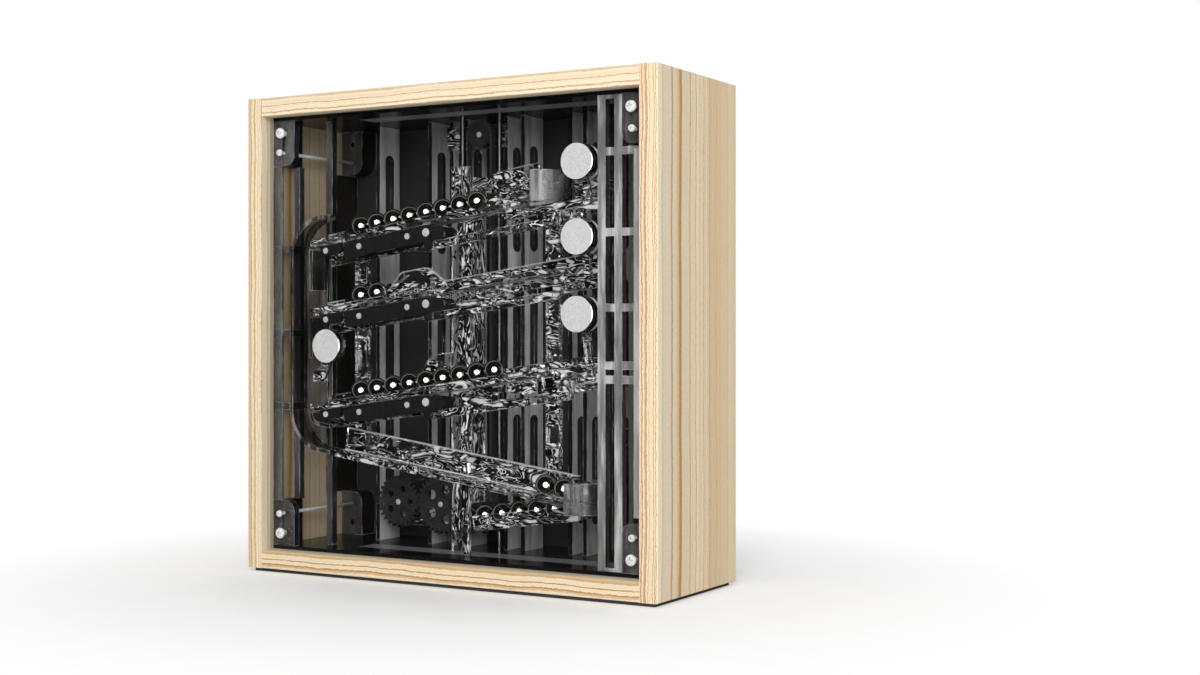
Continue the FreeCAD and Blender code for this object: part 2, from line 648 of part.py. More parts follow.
def front_channel(name, start, run):
    """Floor and low front lip of a front-layer track, padded along its run."""
    corners = [(lip_front_y, floor_bottom), (row_wall_y, floor_bottom), (row_wall_y, floor_top),
               (lip_back_y, floor_top), (lip_back_y, lip_top), (lip_front_y, lip_top)]
    return plate(name, "yz", corners, start, run)


def rear_channel(name, start, run):
    """Floor between a lip and a wall of ball-centre height, padded along its run."""
    top = dim(0)
    corners = [(rear_lip_front_y, floor_bottom), (rear_wall_back_y, floor_bottom),
               (rear_wall_back_y, top), (rear_wall_y, top), (rear_wall_y, floor_top),
               (rear_lip_back_y, floor_top), (rear_lip_back_y, top), (rear_lip_front_y, top)]
    return plate(name, "yz", corners, start, run)


# ---------------------------------------------------------------- counting rows

def full_x(count):
    """Where the ball that fills the row comes to rest."""
    return count * d.ball_diameter


def track(name, row):
    first_z, _, full, pivot_x, _, _, hump_x, hump_rise = row
    left, right = -d.row_plate_left, row_plate_right
    hump = [(hump_x + d.hump_half_width + d.hump_run, dim(0), d.hump_round),
            (hump_x + d.hump_half_width, hump_rise, d.hump_round),
            (hump_x - d.hump_half_width, hump_rise, d.hump_round),
            (hump_x - d.hump_half_width - d.hump_run, dim(0), d.hump_round)]
    corners = [(left, -d.row_plate_drop), (right, -d.row_plate_drop, d.hump_round)]
    floor_right = right - d.row_open_end
    if name == "minute":
        outer = channel_half + (rear_y - row_y) / 2 + d.turn_wall_thickness + d.rail_gap
        turn_left = (d.feed_turn_x - first_ball_x) / upright
        turn_right = (d.feed_turn_x + outer - first_ball_x) / upright + d.turn_notch
        floor_right = turn_left + floor_bottom * slope - d.rail_gap
        notch = floor_bottom - d.rail_gap - outer * slope
        corners += [(right, dim(0), d.hump_round), (turn_right, dim(0)), (turn_right, notch),
                    (floor_right, notch), (floor_right, hump_rise), (hump[1][0], hump_rise)]
        corners += hump[2:]
        corners.append((left, dim(0)))
    else:
        corners += [(right, dim(0), d.hump_round)] + hump + [(left, dim(0))]
    back = plate(name + "_back", "xz", corners, row_wall_back_y, d.wall_thickness)
    channel = front_channel(name + "_channel", -d.row_left, floor_right + d.row_left)
    finger_right = -ball_radius - d.finger_gap + d.lever_slot_margin
    finger_left = finger_right - d.finger_thickness - d.finger_swing
    below, above = floor_bottom - d.cut_past, floor_top + d.cut_past
    finger_slot = box(name + "_finger_slot", (finger_left, lip_back_y, below),
                      (finger_right, row_wall_y - d.gate_plate, above))
    middle = full_x(full)
    half = d.paddle_half_width + d.lever_slot_margin
    trip_front = row_y - d.trip_ahead
    paddle_slot = box(name + "_paddle_slot",
                      (middle - half - d.paddle_sweep, trip_front - d.lever_slot_margin, below),
                      (middle + half, trip_front + d.trip_thickness + d.lever_slot_margin, above))
    bed = cut(name + "_bed", channel, finger_slot, paddle_slot)
    stop_top = -d.pivot_drop - d.trip_arm_height / 2 - d.stop_gap
    stop_left = pivot_x + d.stop_offset
    stop = box(name + "_stop", (stop_left, row_y - d.trip_ahead, stop_top - d.stop_height),
               (stop_left + d.stop_width, row_wall_y, stop_top))
    in_row(keep(fuse(name + "_track_solid", back, bed, stop), name + "_track"), first_z)


def end_plate(name, row):
    """Fixed plate that carries the left end of a row."""
    top, bottom = floor_bottom, floor_bottom - d.end_plate_height
    left = -d.end_plate_left
    right = -ball_radius - d.finger_gap - d.finger_thickness - d.end_plate_gap
    round_off = d.end_plate_height / 2 - d.round_short
    front = lip_front_y + d.gate_front_gap
    corners = [(left, top), (left, bottom, round_off), (right, bottom, round_off), (right, top)]
    return in_row(plate(name + "_end", "xz", corners, front + d.gate_plate, d.gate_plate), row[0])


def gate(name, row):
    """Two plates astride the track, a finger that stops the first ball, and a short arm down."""
    left = -ball_radius - d.finger_gap - d.finger_thickness
    top, pivot_z = floor_bottom - d.gate_top_gap, -d.pivot_drop
    tail = d.gate_pivot_x + d.gate_tail
    arm_low = pivot_z - d.arm_length - d.arm_width / 2
    half = d.arm_width / 2
    round_end = half - d.round_short
    bore = d.axle_radius + d.axle_fit
    upper = [(tail, top - d.gate_tail_drop, d.gate_round), (d.gate_pivot_x, top), (left, top)]
    front = lip_front_y + d.gate_front_gap
    rear = front + d.gate_plate + d.gate_spread
    arm = [(left, -d.gate_bottom, d.gate_round), (d.gate_pivot_x - half, -d.gate_bottom),
           (d.gate_pivot_x - half, arm_low, round_end), (d.gate_pivot_x + half, arm_low, round_end),
           (d.gate_pivot_x + half, -d.gate_bottom), (tail, -d.gate_bottom, d.gate_round)]
    plain = [(left, -d.gate_bottom, d.gate_round), (tail, -d.gate_bottom, d.gate_round)]
    hole = [(d.gate_pivot_x, pivot_z, bore)]
    front_plate = plate(name + "_gate_front", "xz", arm + upper, front + d.gate_plate,
                        d.gate_plate, hole)
    rear_plate = plate(name + "_gate_rear", "xz", plain + upper, rear + d.gate_plate,
                       d.gate_plate, hole)
    inside, behind = front + d.gate_plate, rear
    finger = box(name + "_finger", (left, inside, -d.gate_bottom + d.gate_round),
                 (left + d.finger_thickness, behind, -d.finger_top))
    spacers = [cylinder(f"{name}_spacer_{side}", (x, inside, pivot_z), "y", behind - inside,
                        d.spacer_radius)
               for side, x in (("left", d.spacer_left_x), ("right", d.spacer_right_x))]
    pin = cylinder(name + "_gate_pin", (d.gate_pivot_x, inside, pivot_z - d.arm_length), "y",
                   d.rod_side_gap + d.rod_thickness, d.link_pin_radius)
    whole = fuse(name + "_gate_solid", front_plate, rear_plate, finger, pin, *spacers)
    in_row(keep(whole, name + "_gate"), row[0])


def trip_lever(name, row):
    """Flat lever: a paddle under the filling place, a hub, an arm down and an arm to its weight."""
    first_z, _, full, pivot_x, weight_x, weight_z, _, _ = row
    middle, pivot_z = full_x(full), -d.pivot_drop
    half, arm_half = d.trip_arm_height / 2, d.arm_width / 2
    low, high = pivot_z - half, pivot_z + half
    paddle_top = floor_top + d.paddle_rise
    arm_low = pivot_z - d.arm_length - arm_half
    round_end = arm_half - d.round_short
    corners = [
        (middle - d.paddle_half_width, low, half), (pivot_x - arm_half, low),
        (pivot_x - arm_half, arm_low, round_end), (pivot_x + arm_half, arm_low, round_end),
        (pivot_x + arm_half, low), (weight_x + half, low, half), (weight_x + half, weight_z),
        (weight_x - half, weight_z), (weight_x - half, high, half / 2),
        (middle + d.paddle_half_width, high), (middle + d.paddle_half_width, paddle_top),
        (middle - d.paddle_half_width, paddle_top)]
    front = row_y - d.trip_ahead
    lever = plate(name + "_trip_plate", "xz", corners, front + d.trip_thickness, d.trip_thickness)
    hub_front = row_y - d.hub_length / 2
    hub = cylinder(name + "_trip_hub", (pivot_x, front, pivot_z), "y",
                   row_y + d.hub_length / 2 - front, d.trip_hub_radius)
    bore = cylinder(name + "_trip_bore", (pivot_x, hub_front, pivot_z), "y", d.hub_length,
                    d.axle_radius + d.axle_fit)
    pin_length = d.rod_side_gap + d.rod_thickness
    pin = cylinder(name + "_trip_pin", (pivot_x, front - pin_length, pivot_z - d.arm_length), "y",
                   pin_length, d.link_pin_radius)
    body = fuse(name + "_trip_body", lever, hub, pin)
    in_row(keep(cut(name + "_trip_solid", body, bore), name + "_trip_lever"), first_z)
    disc_front = front - d.weight_front
    front_disc = cylinder(name + "_front_disc", (weight_x, disc_front, weight_z), "y",
                          d.weight_front, d.weight_radius)
    rear_disc = cylinder(name + "_rear_disc", (weight_x, front + d.trip_thickness, weight_z), "y",
                         d.weight_rear, d.weight_radius)
    in_row(keep(group(name + "_discs", [front_disc, rear_disc]), name + "_trip_weight"), first_z)


def link_rod(name, row):
    """Flat rod that joins the arms of the gate and the trip lever."""
    pivot_x = row[3]
    z = -d.pivot_drop - d.arm_length
    half = d.rod_height / 2
    left, right = d.gate_pivot_x - half, pivot_x + half
    corners = [(left, z - half, half - d.round_short), (right, z - half, half - d.round_short),
               (right, z + half, half - d.round_short), (left, z + half, half - d.round_short)]
    hole = d.link_pin_radius + d.link_clearance
    front = lip_front_y + d.gate_front_gap + d.gate_plate + d.rod_side_gap
    rod = plate(name + "_rod", "xz", corners, front + d.rod_thickness, d.rod_thickness,
                [(d.gate_pivot_x, z, hole), (pivot_x, z, hole)])
    in_row(keep(rod, name + "_link_rod"), row[0])


def axle(name, x, front_y, head=True):
    """Pin that stands forward from a row's back plate, in the row's frame."""
    shank = cylinder(name + "_shank", (x, front_y, -d.pivot_drop), "y", row_wall_y - front_y,
                     d.axle_radius)
    if not head:
        return shank
    cap = cylinder(name + "_head", (x, front_y - d.axle_head_height, -d.pivot_drop), "y",
                   d.axle_head_height, d.axle_head_radius)
    return fuse(name, shank, cap)


def rows():
    axles, ends = [], []
    for name, row in ROWS.items():
        track(name, row)
        gate(name, row)
        trip_lever(name, row)
        link_rod(name, row)
        ends.append(end_plate(name, row))
        front = lip_front_y + d.gate_front_gap
        pair = group(name + "_axles", [axle(name + "_gate_axle", d.gate_pivot_x, front),
                                       axle(name + "_trip_axle", row[3],
                                            row_y - d.trip_ahead, head=False)])
        axles.append(in_row(pair, row[0]))
    keep(group("end_plate_group", ends), "row_end_plates")
    brake_axle = cylinder("brake_axle", (brake_pivot_x, row_y - d.trip_ahead, brake_pivot_z),
                          "y", row_wall_y - row_y + d.trip_ahead, d.axle_radius)
    idler = cylinder("idler_axle", (d.lift_x - gear_distance(), gear_front_y, gear_z), "y",
                     plate_front_y - gear_front_y, d.shaft_radius)
    upper = cylinder("upper_axle", (d.lift_x, belt_front_y, top_pulley_z), "y",
                     plate_front_y - belt_front_y, d.shaft_radius)
    keep(group("axle_group", axles + [brake_axle, idler, upper]), "axles")


# ---------------------------------------------------------------- chute, ramps and turns

def chute():
    inner = chute_x - d.chute_half_width
    outer = inner - d.rail_thickness
    right_inner = chute_x + d.chute_half_width
    hood = row_z(minute_row_z, hood_end_x) + ball_radius + d.hood_clearance
    depth = row_wall_y - lip_front_y
    big, small = d.chute_round + d.rail_thickness, d.chute_round

    def sole(x, below):
        return ramp_z(x) - (ball_radius + below) / upright

    end = hood_end_x
    corners = [(end, hood + d.rail_thickness), (outer, hood + d.rail_thickness, big),
               (outer, sole(outer, d.rail_thickness), big), (end, sole(end, d.rail_thickness)),
               (end, sole(end, dim(0))), (inner, sole(inner, dim(0)), small), (inner, hood, small),
               (end, hood)]
    outer_rail = plate("outer_strip", "xz", corners, row_wall_y, depth)

    def rail(name, low, high):
        return box(name, (right_inner, lip_front_y, low),
                   (right_inner + d.rail_thickness, row_wall_y, high))

    def entry(row_height):
        line = row_z(row_height, right_inner)
        above = line + ball_radius + d.entry_clearance
        below = line + floor_bottom / upright - d.rail_gap
        return above, below

    minute, ten, hour = (entry(row[0]) for row in ROWS.values())
    rails = [outer_rail, rail("upper_rail", ten[0], minute[1]),
             rail("middle_rail", hour[0] + d.brake_window, ten[1])]
    ceiling = 2 * ball_radius + d.entry_clearance
    wall_in, wall_out = right_inner + d.rail_thickness, right_inner

    def lid(x, above):
        return ramp_z(x) + (ceiling - ball_radius + above) / upright

    throat = [(wall_out, hour[1]), (wall_out, lid(wall_out, dim(0)), d.throat_round),
              (end, lid(end, dim(0))), (end, lid(end, d.rail_thickness)),
              (wall_in, lid(wall_in, d.rail_thickness), d.throat_round - d.rail_thickness),
              (wall_in, hour[1])]
    rails.append(plate("throat_strip", "xz", throat, row_wall_y, depth))
    keep(group("rail_group", rails), "chute_rails")

    ear = brake_pivot_x + d.brake_hub_radius
    corner = d.chute_back_round
    back = [(outer, sole(outer, d.rail_thickness), corner), (outer, hood, corner), (wall_in, hood),
            (wall_in, brake_pivot_z + 2 * d.brake_hub_radius),
            (ear, brake_pivot_z + d.brake_hub_radius, d.brake_hub_radius / 2),
            (ear, brake_pivot_z - d.brake_hub_radius, d.brake_hub_radius / 2),
            (wall_in, brake_pivot_z - 2 * d.brake_hub_radius),
            (wall_in, sole(wall_in, d.rail_thickness))]
    keep(plate("chute_sheet", "xz", back, row_wall_back_y, d.wall_thickness), "chute_back")


def turn(name, centre_x, front_top, rear_top):
    """Half-round cup that hands a ball from one layer to the other over a tilted floor."""
    inside = channel_half + (rear_y - row_y) / 2
    outside = inside + d.turn_wall_thickness
    low = front_top if front_top.value < rear_top.value else rear_top
    base = low - d.turn_floor
    height = d.turn_wall_height
    at = (centre_x, turn_y, base)
    half_turn = FreeCAD.Placement(FreeCAD.Vector(), FreeCAD.Rotation(FreeCAD.Vector(0, 0, 1), -90))
    discs = []
    for label, radius, tall in (("outer", outside, height), ("inner", inside, height)):
        disc = doc.addObject("Part::Cylinder", f"{name}_{label}")
        bind(disc, "Radius", radius)
        bind(disc, "Height", tall)
        disc.Angle = 180
        disc.Placement = half_turn
        place(disc, at)
        discs.append(disc)
    wall = cut(name + "_wall", discs[0], discs[1])
    rise = (rear_top - front_top) / (rear_y - row_y)
    front_edge, rear_edge = turn_y - outside, turn_y + outside
    front_z, rear_z = front_top + (front_edge - row_y) * rise, front_top + (rear_edge - row_y) * rise
    slab = plate(name + "_slab", "yz",
                 [(front_edge, front_z - d.turn_floor), (rear_edge, rear_z - d.turn_floor),
                  (rear_edge, rear_z), (front_edge, front_z)], centre_x, outside)
    drum = doc.addObject("Part::Cylinder", name + "_drum")
    bind(drum, "Radius", outside)
    bind(drum, "Height", 2 * height)
    drum.Angle = 180
    drum.Placement = half_turn
    place(drum, (centre_x, turn_y, base - height / 2))
    return keep(fuse(name + "_solid", wall, common(name + "_floor", slab, drum)), name)


def ramps():
    """The return ramp in front, the queue behind it, and the feed ramp above row one."""
    run = (ramp_turn_x - hood_end_x) / upright
    start_x, start_z = hood_end_x, ramp_z(hood_end_x)
    lean = -floor_bottom * slope + d.rail_gap
    corners = [(lip_front_y, floor_bottom), (row_wall_y, floor_bottom),
               (row_wall_y, -d.ramp_wall_down), (row_wall_back_y, -d.ramp_wall_down),
               (row_wall_back_y, d.ramp_wall_up), (row_wall_y, d.ramp_wall_up),
               (row_wall_y, floor_top), (lip_back_y, floor_top), (lip_back_y, lip_top),
               (lip_front_y, lip_top)]
    ramp = keep(plate("ramp", "yz", corners, lean, run - lean), "return_ramp")
    tilt(ramp, (start_x, dim(0), start_z), DOWN_TO_RIGHT, d.row_slope)

    wall_right = d.lift_x + ball_radius + d.cradle_gap + d.shaft_wall
    queue_run = (ramp_turn_x - wall_right) / upright - lean
    queue = keep(rear_channel("queue", dim(0), queue_run), "queue_track")
    tilt(queue, (wall_right, dim(0), queue_z(wall_right)), UP_TO_RIGHT, d.row_slope)

    feed_run = (d.feed_turn_x - wall_right) / cosine(d.feed_slope)
    lean = -floor_bottom * tangent(d.feed_slope) + d.rail_gap
    feed = keep(rear_channel("feed", lean, feed_run - lean), "feed_ramp")
    tilt(feed, (wall_right, dim(0), feed_z(wall_right)), DOWN_TO_RIGHT, d.feed_slope)

    foot = floor_top / upright
    front = row_z(minute_row_z, d.feed_turn_x) + foot
    turn("feed_turn", d.feed_turn_x, front, front + d.turn_drop)
    front = ramp_z(ramp_turn_x) + foot
    turn("return_turn", ramp_turn_x, front, front - d.turn_drop)


# ---------------------------------------------------------------- brake lever

def brake():
    x, z = brake_pivot_x, brake_pivot_z
    half = d.brake_arm_width / 2
    low = z - d.brake_arm_drop
    tip = chute_x + ball_radius - d.nose_reach / 2
    corners = [(x + half, z), (brake_weight_x, brake_weight_z + half),
               (brake_weight_x, brake_weight_z - half), (x + half, z - 2 * half),
               (x + half, low), (tip, low, half / 2), (tip, low + d.nose_height, half / 2),
               (x - half, low + 2 * d.nose_height), (x - half, z)]
    front = row_y - d.trip_ahead
    arm = plate("brake_plate", "xz", corners, front + d.trip_thickness, d.trip_thickness)
    hub = cylinder("brake_hub", (x, front, z), "y", row_wall_y - d.gate_top_gap - front,
                   d.brake_hub_radius)
    bore = cylinder("brake_bore", (x, front - d.cut_past, z), "y", row_wall_y - front + d.cut_past,
                    d.axle_radius + d.axle_fit)
    keep(cut("brake_solid", fuse("brake_body", arm, hub), bore), "brake_lever")
    keep(cylinder("brake_disc", (brake_weight_x, front - d.weight_front, brake_weight_z), "y",
                  d.weight_front, d.weight_radius), "brake_weight")


# ---------------------------------------------------------------- lift

def gear(name, teeth, x, bore_radius):
    """Involute spur gear with a recessed, pierced web and a hub; one tooth points to +X."""
    count, module = int(teeth.value), d.gear_module.value
    pitch = module * count / 2
    base = pitch * math.cos(math.radians(d.pressure_angle.value))
    tip, root = pitch + module, pitch - module - module * d.root_clearance.value
    at_pitch = math.pi / 2 / count - d.gear_backlash.value / 2 / pitch

    def involute(radius):
        angle = math.acos(min(1.0, base / radius))
        return math.tan(angle) - angle

    def half_angle(radius):
        return at_pitch + involute(pitch) - involute(radius)

    def point(radius, angle):
        return FreeCAD.Vector(radius * math.cos(angle), 0, radius * math.sin(angle))

    edges = []
    step = 2 * math.pi / count
    start = max(base, root)
    middle = (start + tip) / 2
    for tooth in range(count):
        axis = tooth * step
        rise = [point(r, axis - half_angle(r)) for r in (start, middle, tip)]
        fall = [point(r, axis + half_angle(r)) for r in (tip, middle, start)]
        foot_in, foot_out = point(root, axis - half_angle(start)), point(root, axis + half_angle(start))
        if start > root:
            edges.append(Part.makeLine(foot_in, rise[0]))
        edges.append(Part.Arc(*rise).toShape())
        edges.append(Part.Arc(rise[2], point(tip, axis), fall[0]).toShape())
        edges.append(Part.Arc(*fall).toShape())
        if start > root:
            edges.append(Part.makeLine(fall[2], foot_out))
        next_foot = point(root, axis + step - half_angle(start))
        edges.append(Part.Arc(foot_out, point(root, axis + step / 2), next_foot).toShape())
    width = d.gear_width.value
    blank = Part.Face(Part.Wire(edges)).extrude(FreeCAD.Vector(0, width, 0))
    forward, origin = FreeCAD.Vector(0, 1, 0), FreeCAD.Vector()
    rim, hub = root - 2 * module, d.gear_hub_radius.value
    recess = (width - d.gear_web.value) / 2
    ring = Part.makeCylinder(rim, recess, origin, forward)
    ring = ring.cut(Part.makeCylinder(hub, recess, origin, forward))
    back = ring.copy()
    back.translate(FreeCAD.Vector(0, width - recess, 0))
    tools = [ring, back, Part.makeCylinder(bore_radius.value, width, origin, forward)]
    spot, hole = (rim + hub) / 2, (rim - hub) / 2 - module
    holes = int(d.web_holes.value)
    for number in range(holes):
        centre = point(spot, 2 * math.pi * number / holes)
        tools.append(Part.makeCylinder(hole, width, centre, forward))
    solid = doc.addObject("Part::Feature", name + "_wheel")
    solid.Shape = blank.cut(tools)
    solid.Placement = FreeCAD.Placement()
    place(solid, (x, gear_front_y, gear_z))
    return keep(solid, name)


def gear_distance():
    return d.gear_module * (d.drive_teeth + d.idler_teeth) / 2


def carriage():
    rest = queue_z(d.lift_x)
    plate_front = rear_wall_back_y + d.carriage_gap
    plate_back = plate_front + d.carriage_plate
    low, high = rest - d.carriage_below, rest + d.carriage_above
    reach = d.guide_spread + d.sleeve_radius
    sheet = box("carriage_sheet", (d.lift_x - reach, plate_front, low),
                (d.lift_x + reach, plate_back, high))
    sleeves, bores = [], []
    for side in (-1, 1):
        at = (d.lift_x + side * d.guide_spread, guide_y, low)
        sleeves.append(cylinder(f"sleeve_{side + 1}", at, "z", high - low, d.sleeve_radius))
        bores.append(cylinder(f"sleeve_bore_{side + 1}", at, "z", high - low,
                              d.guide_radius + d.guide_fit))
    sink = tangent(d.cradle_tilt)
    left = d.lift_x - ball_radius - d.cradle_gap
    right = d.lift_x + ball_radius

    def seat(x):
        return rest - ball_radius / cosine(d.cradle_tilt) - (x - d.lift_x) * sink

    under = d.cradle_thickness
    lip = left - d.rail_thickness
    cradle = plate("cradle", "xz",
                   [(lip, seat(lip) - under), (right, seat(right) - under), (right, seat(right)),
                    (left, seat(left)), (left, rest), (lip, rest)], plate_front,
                   plate_front - rear_lip_back_y - d.cradle_gap)
    grip_x = d.lift_x + d.pulley_radius + d.pulley_fit
    grip_z = high - d.clamp_height
    outer = grip_x + d.belt_thickness + d.clamp_fit
    clamp = box("clamp_outer", (outer, plate_back, grip_z),
                (outer + d.clamp_thickness, belt_back_y, high))
    inner = grip_x - d.clamp_fit
    jaw = box("clamp_inner", (inner - d.clamp_thickness, plate_back, grip_z),
              (inner, belt_back_y, high))
    whole = fuse("carriage_body", sheet, cradle, clamp, jaw, *sleeves)
    keep(cut("carriage_solid", whole, *bores), "lift_carriage")


def lift():
    rods = [cylinder(f"guide_{side + 1}", (d.lift_x + side * d.guide_spread, guide_y, floor_z), "z",
                     ceiling_z - floor_z, d.guide_radius) for side in (-1, 1)]
    keep(group("guide_group", rods), "guide_rods")
    inner = d.pulley_radius + d.pulley_fit
    outer = inner + d.belt_thickness
    loops = []
    for reach in (outer, inner):
        loops.append([(d.lift_x - reach, gear_z - reach, reach - d.belt_flat),
                      (d.lift_x + reach, gear_z - reach, reach - d.belt_flat),
                      (d.lift_x + reach, top_pulley_z + reach, reach - d.belt_flat),
                      (d.lift_x - reach, top_pulley_z + reach, reach - d.belt_flat)])
    keep(plate("belt", "xz", loops[0], belt_back_y, d.belt_width,
               windows=[loops[1]]), "lift_belt")
    bore = d.shaft_radius + d.shaft_fit
    for name, z in (("drive_pulley", gear_z), ("top_pulley", top_pulley_z)):
        drum = cylinder(name + "_drum", (d.lift_x, belt_front_y, z), "y", d.belt_width,
                        d.pulley_radius)
        hole = cylinder(name + "_bore", (d.lift_x, belt_front_y, z), "y", d.belt_width, bore)
        keep(cut(name + "_solid", drum, hole), name)
    carriage()
    walls()
    gear("lift_gear", d.drive_teeth, d.lift_x, bore)
    gear("idler_gear", d.idler_teeth, d.lift_x - gear_distance(), bore)
    gear("motor_gear", d.drive_teeth, d.lift_x - 2 * gear_distance(), bore)
    drive_end = plate_front_y + d.gear_plate_thickness
    keep(cylinder("lift_axle", (d.lift_x, belt_front_y, gear_z), "y",
                  drive_end - belt_front_y, d.shaft_radius), "lift_shaft")
    keep(cylinder("motor_axle", (d.lift_x - 2 * gear_distance(), gear_front_y, gear_z), "y",
                  drive_end - gear_front_y, d.shaft_radius), "motor_shaft")
    margin = d.gear_plate_margin
    left, right = d.lift_x - 2 * gear_distance() - margin, d.lift_rib_x + d.rib_thickness / 2
    corners = [(left, gear_z - margin, d.bracket_round), (right, gear_z - margin),
               (right, gear_z + margin), (left, gear_z + margin, d.bracket_round)]
    gear_plate = plate("gear_sheet", "xz", corners, rib_front_y, d.gear_plate_thickness,
                       [(d.lift_x, gear_z, bore),
                        (d.lift_x - 2 * gear_distance(), gear_z, bore)])
    corners = [(d.left_middle_rib_x - d.rib_thickness / 2, top_pulley_z - margin / 2),
               (right, top_pulley_z - margin / 2), (right, top_pulley_z + margin / 2),
               (d.left_middle_rib_x - d.rib_thickness / 2, top_pulley_z + margin / 2)]
    head_plate = plate("head_sheet", "xz", corners, rib_front_y, d.gear_plate_thickness)
    keep(group("bearing_plate_group", [gear_plate, head_plate]), "bearing_plates")
    motor_x = d.lift_x - 2 * gear_distance()
    case_front = cylinder("motor_case", (motor_x, rib_front_y, gear_z), "y", d.motor_length,
                          d.motor_radius)
    cap = cylinder("motor_end", (motor_x, rib_front_y + d.motor_length, gear_z), "y", d.motor_cap,
                   d.motor_radius - d.motor_cap)
    keep(fuse("motor_solid", case_front, cap), "lift_motor")


def walls():
    """Angle that keeps the rising ball in its shaft: a front wall and a right wall."""
    left = d.lift_x - ball_radius - d.cradle_gap
    inner = d.lift_x + ball_radius + d.cradle_gap
    outer = inner + d.shaft_wall
    top = feed_z(d.lift_x) + ball_radius
    sill = feed_z(outer) + floor_top
    entry_z = queue_z(outer) + ball_radius + d.entry_clearance
    front = box("shaft_front", (left, rear_lip_front_y, floor_z), (inner, rear_lip_back_y, top))
    right = box("shaft_right", (inner, rear_lip_front_y, entry_z), (outer, rear_wall_y, sill))
    keep(fuse("shaft_solid", front, right), "shaft_walls")


# ---------------------------------------------------------------- electronics

def electronics():
    back = back_front_y - d.spacer_length
    left, right = d.board_x - d.board_width / 2, d.board_x + d.board_width / 2
    board_z = mechanism_z + d.board_rise
    low, high = board_z - d.board_height / 2, board_z + d.board_height / 2
    inset = d.board_hole_inset
    corners = [(left, low), (right, low), (right, high), (left, high)]
    spots = [(x, z) for x in (left + inset, right - inset) for z in (low + inset, high - inset)]
    sheet = plate("circuit_sheet", "xz", corners, back, d.board_sheet,
                  [(x, z, d.stay_screw_radius) for x, z in spots])
    front = back - d.board_sheet
    chips = []
    for number, (x, z) in enumerate(((d.board_x, board_z), (d.board_x, board_z + d.chip_spacing))):
        half = d.chip_size / 2
        chips.append(box(f"chip_{number}", (x - half, front - d.chip_height, z - half),
                         (x + half, front, z + half)))
    spacers = [cylinder(f"board_spacer_{i}", (x, back, z), "y", d.spacer_length, d.spacer_outer)
               for i, (x, z) in enumerate(spots)]
    keep(group("board_group", [fuse("circuit_solid", sheet, *chips)] + spacers), "control_board")
    outer_y = back_front_y + d.back_thickness
    shell = cylinder("inlet_shell", (d.inlet_x, outer_y - d.inlet_depth, inlet_z), "y",
                     d.inlet_depth, d.inlet_radius)
    flange = cylinder("inlet_collar", (d.inlet_x, outer_y, inlet_z), "y",
                      d.inlet_flange_thickness, d.inlet_flange)
    bore = cylinder("inlet_bore", (d.inlet_x, outer_y - d.inlet_depth + d.inlet_flange_thickness,
                                   inlet_z), "y", d.inlet_depth, d.inlet_bore)
    pin = cylinder("inlet_pin", (d.inlet_x, outer_y - d.inlet_depth, inlet_z), "y",
                   d.inlet_depth - d.inlet_flange_thickness, d.inlet_pin)
    keep(fuse("inlet_solid", cut("inlet_socket", fuse("inlet_body", shell, flange), bore), pin),
         "power_inlet")


# ---------------------------------------------------------------- balls

def ball(name, centre):
    sphere = doc.addObject("Part::Sphere", name)
    bind(sphere, "Radius", ball_radius)
    place(sphere, centre)
    return sphere


def waiting_places():
    """Centres of the waiting balls: along the queue, round the turn and up the ramp."""
    pitch = d.ball_diameter * upright
    angles = (d.turn_ball_1_angle, d.turn_ball_2_angle)
    straight = int(d.queue_count.value) - int(d.ramp_count.value) - len(angles)
    places = []
    for number in range(1, straight + 1):
        x = d.lift_x + number * pitch
        places.append((x, rear_y, queue_z(x)))
    radius = (rear_y - row_y) / 2
    fall = d.turn_drop / (rear_y - row_y)
    seat = ramp_z(ramp_turn_x) - ball_radius / upright + d.turn_seat
    for angle in angles:
        y = turn_y + radius * cosine(angle)
        places.append((ramp_turn_x + radius * sine(angle), y, seat - (y - row_y) * fall))
    for number in range(int(d.ramp_count.value)):
        x = ramp_ball_x - number * pitch
        places.append((x, row_y, ramp_z(x)))
    return places


def balls():
    for name, row in ROWS.items():
        count = int(row[1].value)
        set_of = [ball(f"{name}_ball_{i}", (i * d.ball_diameter, row_y, dim(0)))
                  for i in range(count)]
        in_row(keep(group(name + "_ball_group", set_of), name + "_balls"), row[0])
    waiting = [ball(f"queue_ball_{i}", centre) for i, centre in enumerate(waiting_places())]
    keep(group("queue_ball_group", waiting), "queue_balls")
    keep(ball("lifted_ball", (d.lift_x, rear_y, queue_z(d.lift_x))), "lift_ball")


# ---------------------------------------------------------------- build and write

case()
panels()
fasteners()
frame_pieces()
rows()
chute()
ramps()
brake()
lift()
electronics()
balls()
doc.recompute()

faults = [thing.Label for thing in doc.Objects
          if "Invalid" in thing.State or "Error" in thing.State]
faults += [thing.Label for thing in nodes if thing.Shape.isNull() or not thing.Shape.isValid()]
if faults:
    raise RuntimeError("not built: " + ", ".join(faults))
os.makedirs("parts", exist_ok=True)
for thing in nodes:
    thing.Shape.exportStep(f"parts/{thing.Label}.step")
print(len(nodes), "nodes,", sum(len(thing.Shape.Solids) for thing in nodes), "solids")
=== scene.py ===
"""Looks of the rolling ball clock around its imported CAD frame.

Every CAD node gets its material. Balls, weights, screws and axles are replaced by finer meshes,
and the rows' small screws and a trim strip at the right wall are added.
"""

import json
import math

import bmesh
import bpy
from mathutils import Matrix, Vector

